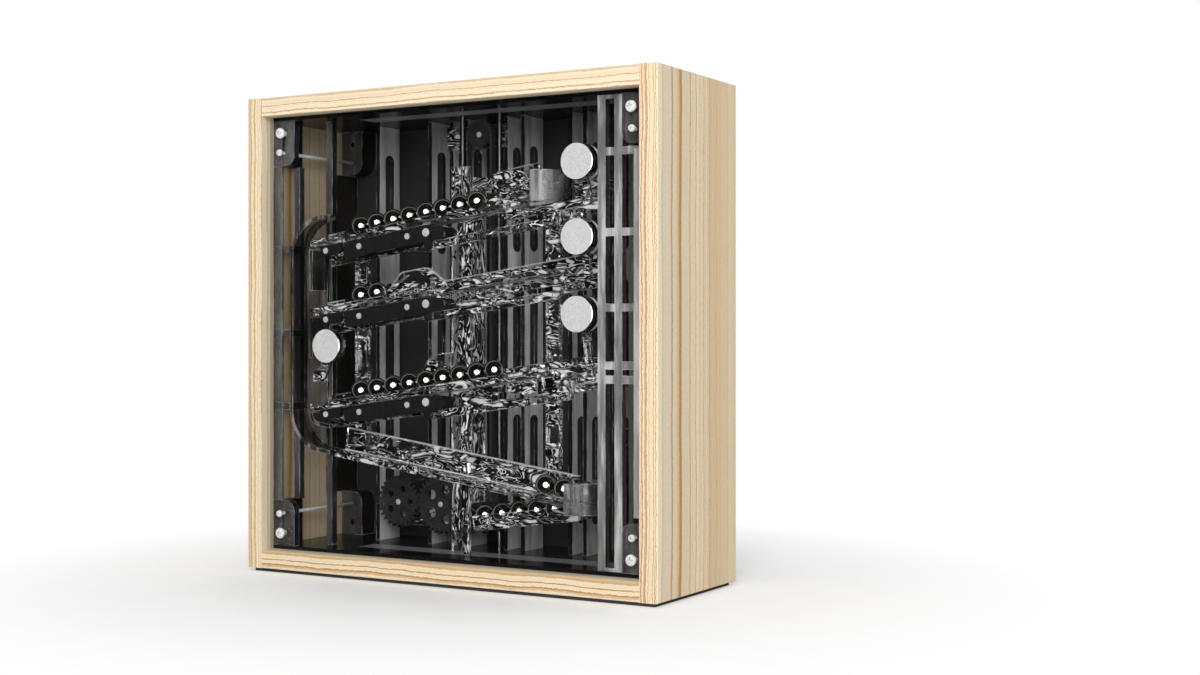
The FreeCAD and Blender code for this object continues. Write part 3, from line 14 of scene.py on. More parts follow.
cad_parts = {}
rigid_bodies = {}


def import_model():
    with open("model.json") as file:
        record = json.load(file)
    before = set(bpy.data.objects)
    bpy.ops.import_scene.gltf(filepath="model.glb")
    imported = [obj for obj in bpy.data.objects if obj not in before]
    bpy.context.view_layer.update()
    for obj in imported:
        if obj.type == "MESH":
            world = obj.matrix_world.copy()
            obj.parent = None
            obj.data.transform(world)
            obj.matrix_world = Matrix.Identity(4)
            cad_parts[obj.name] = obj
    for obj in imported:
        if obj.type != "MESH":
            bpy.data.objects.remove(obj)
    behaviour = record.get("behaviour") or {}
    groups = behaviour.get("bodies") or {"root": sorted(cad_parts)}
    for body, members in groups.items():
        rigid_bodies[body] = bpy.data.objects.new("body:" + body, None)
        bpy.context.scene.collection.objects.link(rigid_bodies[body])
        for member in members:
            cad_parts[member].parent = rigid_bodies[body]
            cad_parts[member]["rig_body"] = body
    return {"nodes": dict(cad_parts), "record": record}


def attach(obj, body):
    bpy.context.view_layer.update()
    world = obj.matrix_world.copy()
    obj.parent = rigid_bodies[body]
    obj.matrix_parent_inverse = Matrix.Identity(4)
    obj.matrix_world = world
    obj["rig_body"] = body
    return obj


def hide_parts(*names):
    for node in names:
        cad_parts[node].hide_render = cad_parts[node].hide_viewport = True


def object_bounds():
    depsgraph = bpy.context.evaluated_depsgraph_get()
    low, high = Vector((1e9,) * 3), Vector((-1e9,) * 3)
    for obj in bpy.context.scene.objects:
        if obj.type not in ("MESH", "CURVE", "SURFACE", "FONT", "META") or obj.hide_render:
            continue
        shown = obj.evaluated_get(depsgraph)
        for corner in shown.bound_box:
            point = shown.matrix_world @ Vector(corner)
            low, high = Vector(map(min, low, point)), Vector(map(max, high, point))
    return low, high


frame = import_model()
cad_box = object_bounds()
nodes = frame["nodes"]
SLOT_OF = {part["node"]: part["material_slot"] for part in frame["record"]["subparts"]}
MM = 0.001
X, Y, Z = 0, 1, 2
BOARD_DEPTH = cad_box[1][Y] - cad_box[0][Y]


# ---------------------------------------------------------------- node trees

class Tree:
    """The node tree of a new material, or of a world, built from short calls."""

    def __init__(self, name, world=False):
        self.owner = (bpy.data.worlds if world else bpy.data.materials).new(name)
        self.owner.use_nodes = True
        self.tree = self.owner.node_tree
        self.tree.nodes.clear()
        self.out = self.add("OutputWorld" if world else "OutputMaterial")

    def add(self, kind, sockets=None, **settings):
        made = self.tree.nodes.new("ShaderNode" + kind)
        for key, value in settings.items():
            setattr(made, key, value)
        for key, value in (sockets or {}).items():
            self.put(made.inputs[key], value)
        return made

    def put(self, socket, value):
        if isinstance(value, bpy.types.NodeSocket):
            self.tree.links.new(value, socket)
        else:
            socket.default_value = value

    def math(self, operation, first, second=0.0):
        made = self.add("Math", {0: first, 1: second}, operation=operation)
        return made.outputs[0]

    def vector_math(self, operation, sockets, output="Vector"):
        return self.add("VectorMath", sockets, operation=operation).outputs[output]

    def noise(self, vector, scale, detail=2.0, roughness=0.5, distortion=0.0):
        made = self.add("TexNoise", {"Vector": vector, "Scale": scale, "Detail": detail,
                                     "Roughness": roughness, "Distortion": distortion})
        return made.outputs["Fac"]

    def ramp(self, factor, *stops):
        made = self.add("ValToRGB", {"Fac": factor})
        points = made.color_ramp.elements
        while len(points) < len(stops):
            points.new(0.5)
        for point, (position, colour) in zip(points, stops):
            point.position = position
            point.color = rgba(colour)
        return made.outputs["Color"]

    def blend(self, share, first, second, **settings):
        """A colour that goes from the first to the second with share."""
        made = self.add("MixRGB", {"Fac": share, "Color1": first, "Color2": second}, **settings)
        return made.outputs[0]

    def mix(self, share, first, second):
        """A shader that goes from the first to the second with share."""
        return self.add("MixShader", {0: share, 1: first.outputs[0], 2: second.outputs[0]})

    def bump(self, height, strength, distance=0.05 * MM):
        made = self.add("Bump", {"Height": height, "Strength": strength, "Distance": distance})
        return made.outputs["Normal"]

    def place(self):
        return self.add("TexCoord").outputs["Object"]

    def scaled(self, vector, scale):
        return self.add("Mapping", {"Vector": vector, "Scale": scale}).outputs["Vector"]

    def split(self, vector):
        return self.add("SeparateXYZ", {"Vector": vector}).outputs

    def normal(self):
        return self.add("NewGeometry").outputs["Normal"]

    def rounded(self, radius):
        """The normal as if every edge had this radius."""
        return self.add("Bevel", {"Radius": radius}, samples=4).outputs[0]

    def surface(self, shader):
        self.tree.links.new(shader.outputs[0], self.out.inputs["Surface"])
        return self.owner


def rgba(colour):
    """A grey level or an RGB colour, opaque."""
    if isinstance(colour, (int, float)):
        colour = (colour,) * 3
    return (*colour, 1.0)


# ---------------------------------------------------------------- materials

WOOD_CREAM = (0.80, 0.69, 0.51)
WOOD_PALE = (0.73, 0.59, 0.40)
WOOD_SAND = (0.68, 0.59, 0.44)
WOOD_TAN = (0.61, 0.45, 0.26)
WOOD_LINE = (0.46, 0.22, 0.06)
# The bands across a board's wide face, from its front edge (0) to its back edge (1), and how
# far close lines take their place.
WOOD_BANDS = ((0.0, WOOD_CREAM), (0.045, WOOD_CREAM), (0.058, WOOD_TAN), (0.07, WOOD_SAND),
              (0.158, WOOD_SAND), (0.172, WOOD_LINE), (0.184, WOOD_SAND), (0.215, WOOD_PALE),
              (0.25, WOOD_TAN), (0.268, WOOD_LINE), (0.282, WOOD_LINE), (0.294, WOOD_SAND),
              (0.37, WOOD_SAND), (0.385, WOOD_TAN), (0.40, WOOD_PALE), (0.60, WOOD_PALE),
              (0.64, WOOD_TAN), (1.0, WOOD_PALE))
WOOD_CLOSE_SHARE = ((0.36, 0.08), (0.39, 0.7), (0.58, 0.7), (0.64, 0.3))
WOOD_LINES = ((0.0, WOOD_TAN), (0.06, WOOD_LINE), (0.16, WOOD_LINE), (0.26, WOOD_TAN),
              (0.45, WOOD_CREAM), (0.75, WOOD_PALE), (0.95, WOOD_CREAM))
WIDE_FACE_RINGS = 9.0
NARROW_FACE_SHIFT = 0.3

# Texture stretches: a small factor draws the pattern out along that axis.
LENGTHWISE, UPWARD, UPWARD_STREAKS = (0.35, 1.0, 1.0), (1.0, 1.0, 0.3), (1.0, 1.0, 0.12)
FACETS_PER_METRE = 130.0
FACET_LEAN = 0.22
# Radii of the edges that get painted glints, and of the upper edges that get a painted highlight.
ACRYLIC_EDGE, BAR_EDGE, TOP_EDGE = 0.6 * MM, 0.4 * MM, 1.4 * MM
ACRYLIC_LIGHT_SHARE, BAR_LIGHT_SHARE = 0.8, 0.6
# A row sheet lies behind this depth; its upper edge, which gets a painted highlight, is where the
# rounded normal points up.
ROW_SHEETS_FROM_Y = -20.5 * MM
TOP_EDGE_FROM_UP = 0.18
# Painted shade: the near black on the faces of a bar that don't face its axis.
BAR_PAINTED_SHADE_GREY = 0.012
LEFT_GREY, LEFT_GREY_SHARE = 0.04, 0.75
FRONT_SHARPNESS = 4.0
LINER_BAND_FROM_X = -72 * MM


def wood(name, along, across, rings):
    """Pale layered board: thin wavering lines run along it, and broad bands cross its wide faces.

    The number rings sets how close the lines lie on the narrow faces.
    """
    t = Tree(name)
    place = t.place()
    split = t.split(place)

    def waver(scale, stretch, reach):
        """A slow swing to either side, drawn out along the board."""
        lengths = [1.0 if axis == along else stretch for axis in (X, Y, Z)]
        swing = t.noise(t.scaled(place, lengths), scale)
        return t.math("MULTIPLY", t.math("SUBTRACT", swing, 0.5), reach)

    def lined(value, pitch):
        """Growth lines across a face, by the depth into the board."""
        strands = t.noise(t.add("CombineXYZ", {0: value}).outputs[0], scale=260.0, detail=1.0,
                          roughness=0.4)
        return t.ramp(t.math("FRACT", t.math("MULTIPLY", strands, pitch)), *WOOD_LINES)

    drift = t.math("ADD", waver(30.0, 0.35, reach=2.6 * MM),
                   waver(600.0, 1.0, reach=1.2 * MM))
    depth = t.math("ADD", split[Y], drift)
    shifted = t.math("ADD", t.math("ADD", split[across], drift), NARROW_FACE_SHIFT)
    share = t.math("ADD", t.math("DIVIDE", depth, BOARD_DEPTH), 0.5)
    banded = t.blend(t.ramp(share, *WOOD_CLOSE_SHARE), t.ramp(share, *WOOD_BANDS),
                     lined(depth, WIDE_FACE_RINGS))
    wide = t.ramp(t.math("ABSOLUTE", t.split(t.normal())[across]), (0.4, 0.0), (0.6, 1.0))
    pores = t.ramp(t.noise(place, scale=2300.0), (0.36, 0.86), (0.52, 1.0))
    grain = t.blend(1.0, t.blend(wide, lined(shifted, rings), banded), pores,
                    blend_type="MULTIPLY")
    return t.surface(t.add("BsdfPrincipled", {
        "Base Color": grain, "Roughness": 0.6, "Specular IOR Level": 0.2,
        "Normal": t.bump(pores, strength=0.10, distance=0.2 * MM)}))


def glazing(name, tint, gloss):
    """Flat tinted sheet that lets light straight through and mirrors a little at a slant."""
    t = Tree(name)
    film = t.noise(t.place(), scale=30.0)
    through = t.add("BsdfTransparent", {"Color": rgba(tint)})
    mirror = t.add("BsdfGlossy", {"Roughness": t.math("MULTIPLY", film, 0.04), "Color": rgba(0.9)})
    slant = t.add("Fresnel", {"IOR": 1.45}).outputs[0]
    outer = t.math("SUBTRACT", 1.0, t.add("NewGeometry").outputs["Backfacing"])
    share = t.math("MULTIPLY", t.math("MULTIPLY", slant, outer), gloss)
    return t.surface(t.mix(share, through, mirror))


def lets_light(t, shader, share):
    """Let most of the light through a clear piece instead of casting its full shadow."""
    shadow = t.math("MULTIPLY", t.add("LightPath").outputs["Is Shadow Ray"], share)
    return t.mix(shadow, shader, t.add("BsdfTransparent", {"Color": rgba(0.95)}))


def edge_of(t, radius):
    """1 along the sharp edges of a piece, 0 on its faces."""
    same = t.vector_math("DOT_PRODUCT", {0: t.normal(), 1: t.rounded(radius)}, "Value")
    return t.ramp(t.math("SUBTRACT", 1.0, same), (0.01, 0.0), (0.10, 1.0))


def acrylic(name, stretch=LENGTHWISE, top_highlight=0.0, under_highlight=False):
    """Polished clear acrylic: uneven faces, bright and black streaks painted on as reflections and
    dark refractions, and painted glints along its edges.

    The share top_highlight also paints a highlight along the upper edges of the row sheets, and
    under_highlight along the lower ones.
    """
    t = Tree(name)
    place = t.place()
    cells = t.add("TexVoronoi", {"Vector": place, "Scale": FACETS_PER_METRE}).outputs["Color"]
    lean = t.vector_math("SUBTRACT", {0: cells, 1: (0.5, 0.5, 0.5)})
    lean = t.vector_math("SCALE", {0: lean, "Scale": FACET_LEAN})
    uneven = t.vector_math("NORMALIZE", {0: t.vector_math("ADD", {0: t.normal(), 1: lean})})
    glass = t.add("BsdfPrincipled", {
        "Base Color": rgba(0.95), "Roughness": 0.02, "IOR": 1.49, "Transmission Weight": 1.0,
        "Normal": uneven})
    drawn_out = t.scaled(place, stretch)
    streaks = t.noise(drawn_out, scale=150.0, roughness=0.55, distortion=1.6)
    # Painted reflections: bright and black streaks, shown in patches over the glass.
    level = t.ramp(streaks, (0.36, 0.9), (0.39, 0.006), (0.485, 0.006), (0.495, 0.95),
                   (0.505, 0.95), (0.515, 0.006), (0.59, 0.03), (0.61, 0.35), (0.65, 0.95))
    painted_light_shard = t.add("BsdfPrincipled", {"Base Color": level, "Roughness": 0.3,
                                     "Specular IOR Level": 0.1})
    patches = t.noise(drawn_out, scale=90.0, detail=3.0, roughness=0.7)
    shown = t.ramp(patches, (0.49, 0.0), (0.50, 0.92))
    # Painted glints along the edges.
    sparks = t.noise(place, scale=85.0, detail=3.0, roughness=0.7)
    painted_glint = t.ramp(sparks, (0.44, 0.015), (0.54, 0.25), (0.62, 0.6))
    painted_edge_glint = t.add("BsdfPrincipled", {"Base Color": painted_glint, "Roughness": 0.25,
                                   "Specular IOR Level": 0.2})
    whole = t.mix(edge_of(t, ACRYLIC_EDGE), t.mix(shown, glass, painted_light_shard), painted_edge_glint)
    if top_highlight:
        upward = t.split(t.rounded(TOP_EDGE))[Z]
        if under_highlight:
            upward = t.math("ABSOLUTE", upward)
        sheet = t.math("GREATER_THAN", t.split(place)[Y], ROW_SHEETS_FROM_Y)
        upper = t.math("MULTIPLY", t.math("GREATER_THAN", upward, TOP_EDGE_FROM_UP), sheet)
        # A painted highlight along those edges.
        painted_top_line = t.add("BsdfPrincipled", {"Base Color": rgba(0.98), "Roughness": 0.2})
        whole = t.mix(t.math("MULTIPLY", upper, top_highlight), whole, painted_top_line)
    return t.surface(lets_light(t, whole, ACRYLIC_LIGHT_SHARE))


def smoked_bar_painted_light(name, facing, painted_greys, clearness, sides=0.0, left_share=0.0):
    """Smoked bar with painted light: grey across the faces that face one axis, nearly black
    painted shade on the others.

    Clearness is how far those faces are seen through, and sides the same for the others.
    With left_share the bars in the left half are darker and that much clearer.
    """
    t = Tree(name)
    place = t.place()
    painted_lit_faces = t.math("ABSOLUTE", t.split(t.normal())[facing])
    streaks = t.noise(t.scaled(place, UPWARD_STREAKS), scale=160.0, detail=3.0, roughness=0.65)
    # Painted light: streaked grey for the faces toward the axis.
    grey = t.ramp(streaks, *zip((0.38, 0.50, 0.62), painted_greys))
    if left_share:
        left = t.math("LESS_THAN", t.split(place)[X], 0.0)
        grey = t.blend(t.math("MULTIPLY", left, LEFT_GREY_SHARE), grey, rgba(LEFT_GREY))
        clearness = t.math("ADD", t.math("MULTIPLY", left, left_share), clearness)
    # Faces toward the axis take the painted grey, the others the painted shade.
    solid = t.add("BsdfPrincipled", {
        "Base Color": t.blend(painted_lit_faces, rgba(BAR_PAINTED_SHADE_GREY), grey), "Roughness": 0.2})
    front = t.math("POWER", painted_lit_faces, FRONT_SHARPNESS)
    seen_through = t.math("ADD", t.math("MULTIPLY", front, clearness),
                          t.math("MULTIPLY", t.math("SUBTRACT", 1.0, front), sides))
    faces = t.mix(seen_through, solid, t.add("BsdfTransparent", {"Color": rgba(0.8)}))
    # Painted glints along the edges.
    sparks = t.noise(place, scale=60.0, detail=3.0, roughness=0.7)
    painted_glint = t.ramp(sparks, (0.44, 0.01), (0.50, 0.25), (0.58, 0.9))
    painted_edge_glint = t.add("BsdfPrincipled", {"Base Color": painted_glint, "Roughness": 0.3})
    whole = t.mix(edge_of(t, BAR_EDGE), faces, painted_edge_glint)
    return t.surface(lets_light(t, whole, BAR_LIGHT_SHARE))


def liner(name):
    """Dark glossy sheet with a grey band along it ahead of the middle, but for its left end."""
    t = Tree(name)
    place = t.place()
    split = t.split(place)
    share = t.math("ADD", t.math("DIVIDE", split[Y], BOARD_DEPTH), 0.5)
    band = t.ramp(share, (0.29, 0.006), (0.30, 0.34), (0.33, 0.24), (0.35, 0.32), (0.45, 0.28),
                  (0.47, 0.02))
    shown = t.math("GREATER_THAN", split[X], LINER_BAND_FROM_X)
    return t.surface(t.add("BsdfPrincipled", {
        "Base Color": t.blend(shown, rgba(0.01), band), "Roughness": 0.25,
        "Specular IOR Level": 0.3, "Normal": t.bump(t.noise(place, scale=900.0),
                                                   strength=0.03)}))


def plastic(name, dark, light, roughness, scale=900.0, relief=0.08, sheen=0.5):
    """Moulded or cut plastic: slight mottling, fine surface grain."""
    t = Tree(name)
    place = t.place()
    colour = t.ramp(t.noise(place, scale, detail=3.0), (0.35, dark), (0.65, light))
    grain = t.noise(place, scale * 3.0)
    return t.surface(t.add("BsdfPrincipled", {
        "Base Color": colour, "Roughness": roughness, "Specular IOR Level": sheen,
        "Normal": t.bump(grain, relief)}))


def metal(name, dark, light, roughness, stretch=(1.0, 1.0, 1.0)):
    """Metal with a slightly uneven polish."""
    t = Tree(name)
    marks = t.noise(t.scaled(t.place(), stretch), scale=700.0, detail=3.0)
    colour = t.ramp(marks, (0.3, dark), (0.7, light))
    return t.surface(t.add("BsdfPrincipled", {
        "Base Color": colour, "Metallic": 1.0, "Roughness": roughness,
        "Normal": t.bump(marks, strength=0.03, distance=0.04 * MM)}))


def dark_ball(name):
    """Polished steel ball: kept dark over its face as painted shade for the dark case it mirrors,
    with a thin pale ring inside its outline as a painted reflection.
    """
    t = Tree(name)
    # Low reflectance, painted shade for the dark reflections.
    colour = t.ramp(t.noise(t.place(), scale=500.0), (0.3, 0.20), (0.7, 0.25))
    steel = t.add("BsdfPrincipled", {"Base Color": colour, "Metallic": 1.0, "Roughness": 0.02})
    # Painted reflection: a pale ring where the face turns from view.
    slant = t.add("LayerWeight", {"Blend": 0.5}).outputs["Facing"]
    ring = t.ramp(slant, (0.36, 0.0), (0.40, 0.5), (0.45, 0.5), (0.50, 0.0))
    pale = t.add("BsdfDiffuse", {"Color": rgba((0.55, 0.49, 0.38))})
    return t.surface(t.mix(ring, steel, pale))


def frosted_face(name):
    """Light satin face of a weight, with fine pale flecks."""
    t = Tree(name)
    place = t.place()
    specks = t.noise(place, scale=1000.0, detail=4.0, roughness=0.8)
    flecks = t.ramp(specks, (0.36, 0.70), (0.50, 0.80), (0.62, 0.92))
    return t.surface(t.add("BsdfPrincipled", {
        "Base Color": flecks, "Roughness": 0.6, "Specular IOR Level": 0.3,
        "Normal": t.bump(t.noise(place, scale=2600.0), strength=0.1)}))


LOOKS = {
    "smoked_acrylic": glazing("smoked front", tint=0.88, gloss=0.12),
    "clear_acrylic": acrylic("clear acrylic"),
    "charcoal_acrylic": plastic("charcoal acrylic", 0.014, 0.022, 0.12, relief=0.0, sheen=0.3),
    "liner_plastic": liner("liner"),
    "back_plastic": plastic("back panel", 0.035, 0.045, 0.5, sheen=0.1),
    "base_rubber": plastic("base rubber", 0.012, 0.02, 0.7, relief=0.3),
    "ball_steel": dark_ball("ball steel"),
    "weight_steel": metal("weight side", 0.35, 0.5, 0.12),
    "screw_steel": plastic("screw steel", 0.62, 0.80, 0.5, scale=700.0, relief=0.03, sheen=0.03),
    "gear_plastic": plastic("gear plastic", 0.03, 0.045, 0.15),
    "belt_rubber": plastic("belt rubber", 0.012, 0.02, 0.6, relief=0.4),
    "carriage_plastic": plastic("carriage plastic", 0.02, 0.03, 0.25),
    "motor_can": metal("motor can", 0.30, 0.40, 0.25, stretch=(1.0, 12.0, 1.0)),
    "circuit_board": plastic("circuit board", 0.008, 0.015, 0.35),
    "inlet_plastic": plastic("inlet plastic", 0.015, 0.025, 0.4),
}
UPRIGHT_WOOD = wood("wood upright", along=Z, across=X, rings=8.0)
LEVEL_WOOD = wood("wood level", along=X, across=Z, rings=4.5)
# These bars carry painted light and shade on their faces and painted glints on their edges; the
# highlight pieces get a painted highlight along their upper edges.
CLEAR_TURN = smoked_bar_painted_light("turn", Y, (0.06, 0.35, 0.85), clearness=0.6, sides=0.72)
LEVER_PAINTED_HIGHLIGHT = acrylic("lever painted highlight", top_highlight=0.95, under_highlight=True)
# Nodes that look otherwise than the rest of their slot.
LOOK_OF = {
    "left_side": UPRIGHT_WOOD,
    "right_side": UPRIGHT_WOOD,
    "top_board": LEVEL_WOOD,
    "bottom_board": LEVEL_WOOD,
    "ribs": smoked_bar_painted_light("rib sheet", X, (0.55, 0.75, 0.90), clearness=0.12),
    "side_frames": smoked_bar_painted_light("frame bar", Y, (0.26, 0.45, 0.95), clearness=0.25, sides=0.15,
                              left_share=0.2),
    "shaft_walls": acrylic("upright acrylic", UPWARD),
    "feed_turn": CLEAR_TURN,
    "return_turn": CLEAR_TURN,
    "chute_rails": smoked_bar_painted_light("chute rail", Y, (0.01, 0.06, 0.45), clearness=0.3, sides=0.72),
    "chute_back": smoked_bar_painted_light("chute back", Y, (0.04, 0.10, 0.45), clearness=0.75, sides=0.3),
    "corner_brackets": smoked_bar_painted_light("bracket", Y, (0.10, 0.16, 0.26), clearness=0.5),
    "return_ramp": acrylic("ramp painted highlight", top_highlight=0.9),
    "ten_minute_track": acrylic("track painted highlight", top_highlight=0.6),
    "minute_trip_lever": LEVER_PAINTED_HIGHLIGHT,
    "ten_minute_trip_lever": LEVER_PAINTED_HIGHLIGHT,
    "guide_rods": metal("dark rod", 0.03, 0.05, 0.35),
}
WEIGHT_FACE = frosted_face("weight face")

for name, thing in nodes.items():
    thing.data.materials.clear()
    thing.data.materials.append(LOOK_OF.get(name) or LOOKS[SLOT_OF[name]])


# ---------------------------------------------------------------- pieces in mesh code

WELD_REACH = 0.001 * MM
BALL_SEGMENTS, BALL_RINGS = 48, 32
WEIGHT_STEPS, WEIGHT_CHAMFER = 96, 0.4 * MM
HEAD_STEPS, PIN_STEPS = 32, 24
HEAD_PROFILE = ((1, 0), (1, 0.35), (0.93, 0.62), (0.78, 0.84), (0.55, 0.96), (0.28, 1.0), (0, 1.0))
RECESS_LENGTH, RECESS_WIDTH, RECESS_HEIGHT, RECESS_MIDDLE = 1.15, 0.26, 0.9, 0.95
REAR_SCREWS_FROM_Y = 30 * MM
CASE_SCREW_SHANK, CASE_SCREW_HEAD = 0.52, 2 * MM
GATE_AXLE_FROM_RADIUS, GATE_AXLE_SHANK, GATE_AXLE_HEAD = 2 * MM, 1.2 * MM, 0.6 * MM
# Where the small screws sit in a row's frame, in mm from its first ball: (along, up).
GATE_SCREW_SPOTS = ((2.5, -12), (35, -12))
END_SCREW_SPOTS = ((-20.5, -10.7),)
SMALL_HEAD, SMALL_SHANK, SMALL_SHANK_DEPTH = (1.6 * MM, 0.8 * MM), 0.9 * MM, 0.4 * MM
TRIM_WIDTH, TRIM_MIDDLE_FROM_WALL = 8.4 * MM, 4.3 * MM
TRIM_NEAR, TRIM_FAR = 0.1 * MM, 0.9 * MM
TRIM_BELOW, TRIM_ABOVE = 41.3 * MM, 222.7 * MM

FACING_FRONT = Matrix.Rotation(math.radians(90), 4, "X")
FACING_BACK = Matrix.Rotation(math.radians(-90), 4, "X")


def islands(node, weld=False):
    """The box of every separate solid in a CAD node, as (low, high), from left to right.

    Faces meet along doubled edges, so turned solids are joined by place with weld.
    """
    mesh = nodes[node].data
    parent = list(range(len(mesh.vertices)))

    def root(i):
        while parent[i] != i:
            parent[i] = parent[parent[i]]
            i = parent[i]
        return i

    for edge in mesh.edges:
        parent[root(edge.vertices[0])] = root(edge.vertices[1])
    if weld:
        first = {}
        for vertex in mesh.vertices:
            spot = tuple(round(c / WELD_REACH) for c in vertex.co)
            parent[root(first.setdefault(spot, vertex.index))] = root(vertex.index)
    groups = {}
    for vertex in mesh.vertices:
        groups.setdefault(root(vertex.index), []).append(vertex.co)
    boxes = []
    for points in groups.values():
        low = Vector([min(p[axis] for p in points) for axis in (X, Y, Z)])
        high = Vector([max(p[axis] for p in points) for axis in (X, Y, Z)])
        boxes.append((low, high))
    return sorted(boxes, key=lambda ends: tuple(ends[0]))


def linked(name, shape, materials=()):
    """Turn a bmesh into a named object of the scene."""
    mesh = bpy.data.meshes.new(name)
    shape.to_mesh(mesh)
    shape.free()
    for material in materials:
        mesh.materials.append(material)
    piece = bpy.data.objects.new(name, mesh)
    bpy.context.scene.collection.objects.link(piece)
    return piece


def finished(name, shape, node, materials):
    """Turn a bmesh into the piece that stands for a CAD node, riding on its body."""
    bmesh.ops.recalc_face_normals(shape, faces=shape.faces)
    piece = linked(name, shape, materials)
    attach(piece, nodes[node]["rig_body"])
    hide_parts(node)


def lathe(shape, profile, place, steps, materials=None):
    """Turn (radius, height) pairs about local Z; materials gives one index per band."""
    rings = []
    for radius, height in profile:
        ring = []
        for i in range(1 if radius == 0 else steps):
            angle = 2 * math.pi * i / steps
            ring.append(shape.verts.new(place @ Vector((radius * math.cos(angle),
                                                        radius * math.sin(angle), height))))
        rings.append(ring)
    for band, (below, above) in enumerate(zip(rings, rings[1:])):
        for i in range(steps):
            j = (i + 1) % steps
            corners = []
            for vert in (below[i % len(below)], below[j % len(below)], above[j % len(above)],
                         above[i % len(above)]):
                if vert not in corners:
                    corners.append(vert)
            if len(corners) < 3:
                continue
            face = shape.faces.new(corners)
            face.smooth = True
            face.material_index = materials[band] if materials else 0


def balls(node):
    """Smoother spheres at the places of a node's balls."""
    shape = bmesh.new()
    for low, high in islands(node):
        bmesh.ops.create_uvsphere(shape, u_segments=BALL_SEGMENTS, v_segments=BALL_RINGS,
                                  radius=max(high - low) / 2,
                                  matrix=Matrix.Translation((low + high) / 2))
    for face in shape.faces:
        face.smooth = True
    finished(node + "_polished", shape, node, [LOOKS["ball_steel"]])


def weight(node):
    """Turned weight: flat frosted faces, polished round side, small chamfers."""
    side, front = 0, 1
    shape = bmesh.new()
    for low, high in islands(node, weld=True):
        centre = (low + high) / 2
        radius, depth = (high.x - low.x) / 2, high.y - low.y
        place = Matrix.Translation((centre.x, high.y, centre.z)) @ FACING_FRONT
        profile = [(0, 0), (radius - WEIGHT_CHAMFER, 0), (radius, WEIGHT_CHAMFER),
                   (radius, depth - WEIGHT_CHAMFER), (radius - WEIGHT_CHAMFER, depth), (0, depth)]
        lathe(shape, profile, place, WEIGHT_STEPS, [front, side, side, side, front])
    for face in shape.faces:
        face.smooth = face.material_index == side
    finished(node + "_turned", shape, node, [LOOKS["weight_steel"], WEIGHT_FACE])


def cross_head():
    """A domed screw head of radius 1 and height 1 with a cross recess, standing along +Z."""
    dome = bmesh.new()
    lathe(dome, HEAD_PROFILE, Matrix(), HEAD_STEPS)
    bmesh.ops.holes_fill(dome, edges=[edge for edge in dome.edges if edge.is_boundary])
    cross = bmesh.new()
    for length, width in ((RECESS_LENGTH, RECESS_WIDTH), (RECESS_WIDTH, RECESS_LENGTH)):
        size = Matrix.Diagonal((length, width, RECESS_HEIGHT, 1))
        bmesh.ops.create_cube(cross, size=1.0,
                              matrix=Matrix.Translation((0, 0, RECESS_MIDDLE)) @ size)
    blank, tool = linked("head blank", dome), linked("cross tool", cross)
    recess = blank.modifiers.new("recess", "BOOLEAN")
    recess.operation = "DIFFERENCE"
    recess.use_self = True
    recess.object = tool
    seen = blank.evaluated_get(bpy.context.evaluated_depsgraph_get())
    cut_mesh = bpy.data.meshes.new_from_object(seen)
    for thing in (blank, tool):
        bpy.data.objects.remove(thing)
    return cut_mesh


HEAD = cross_head()


def pin(shape, x, z, near, far, radius, head=None):
    """A round pin between two depths; head (radius, height) puts a cross head at its near end."""
    if head:
        way, flip = (1, FACING_FRONT) if far > near else (-1, FACING_BACK)
        size = Matrix.Diagonal((head[0], head[0], head[1], 1))
        near += way * head[1]
        fresh = bmesh.new()
        fresh.from_mesh(HEAD)
        fresh.transform(Matrix.Translation((x, near, z)) @ flip @ size)
        joined = bpy.data.meshes.new("one head")
        fresh.to_mesh(joined)
        fresh.free()
        shape.from_mesh(joined)
        bpy.data.meshes.remove(joined)
    place = Matrix.Translation((x, max(near, far), z)) @ FACING_FRONT
    length = abs(far - near)
    lathe(shape, [(0, 0), (radius, 0), (radius, length), (0, length)], place, PIN_STEPS)


def screw_set():
    """Every case screw with a cross head, at the places of the CAD ones."""
    shape = bmesh.new()
    for low, high in islands("screws", weld=True):
        centre = (low + high) / 2
        radius = (high.x - low.x) / 2
        ends = (low.y, high.y) if centre.y < REAR_SCREWS_FROM_Y else (high.y, low.y)
        pin(shape, centre.x, centre.z, *ends, radius * CASE_SCREW_SHANK,
            (radius, CASE_SCREW_HEAD))
    finished("case_screws", shape, "screws", [LOOKS["screw_steel"]])


def axle_set():
    """Axles as in the CAD, those of the gates with a cross head."""
    shape = bmesh.new()
    for low, high in islands("axles", weld=True):
        centre = (low + high) / 2
        radius, head = (high.x - low.x) / 2, None
        if radius > GATE_AXLE_FROM_RADIUS:
            radius, head = GATE_AXLE_SHANK, (radius, GATE_AXLE_HEAD)
        pin(shape, centre.x, centre.z, low.y, high.y, radius, head)
    finished("cross_head_axles", shape, "axles", [LOOKS["screw_steel"]])


def row_screws(row):
    """Small cross-head screws on a row's gate and on its end plate, set in the row's frame."""
    centres = sorted(((low + high) / 2 for low, high in islands(row + "_balls")),
                     key=lambda centre: centre.x)
    along = (centres[1] - centres[0]).normalized()
    up = Vector((-along.z, 0, along.x))
    face = min(corner[Y] for corner in nodes[row + "_gate"].bound_box)
    for node, label, spots in ((row + "_gate", "gate", GATE_SCREW_SPOTS),
                               ("row_end_plates", "end", END_SCREW_SPOTS)):
        shape = bmesh.new()
        for x, z in spots:
            spot = centres[0] + along * x * MM + up * z * MM
            pin(shape, spot.x, spot.z, face - SMALL_HEAD[1], face + SMALL_SHANK_DEPTH,
                SMALL_SHANK, SMALL_HEAD)
        bmesh.ops.recalc_face_normals(shape, faces=shape.faces)
        piece = linked(f"{row}_{label}_screws", shape, [LOOKS["screw_steel"]])
        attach(piece, nodes[node]["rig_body"])


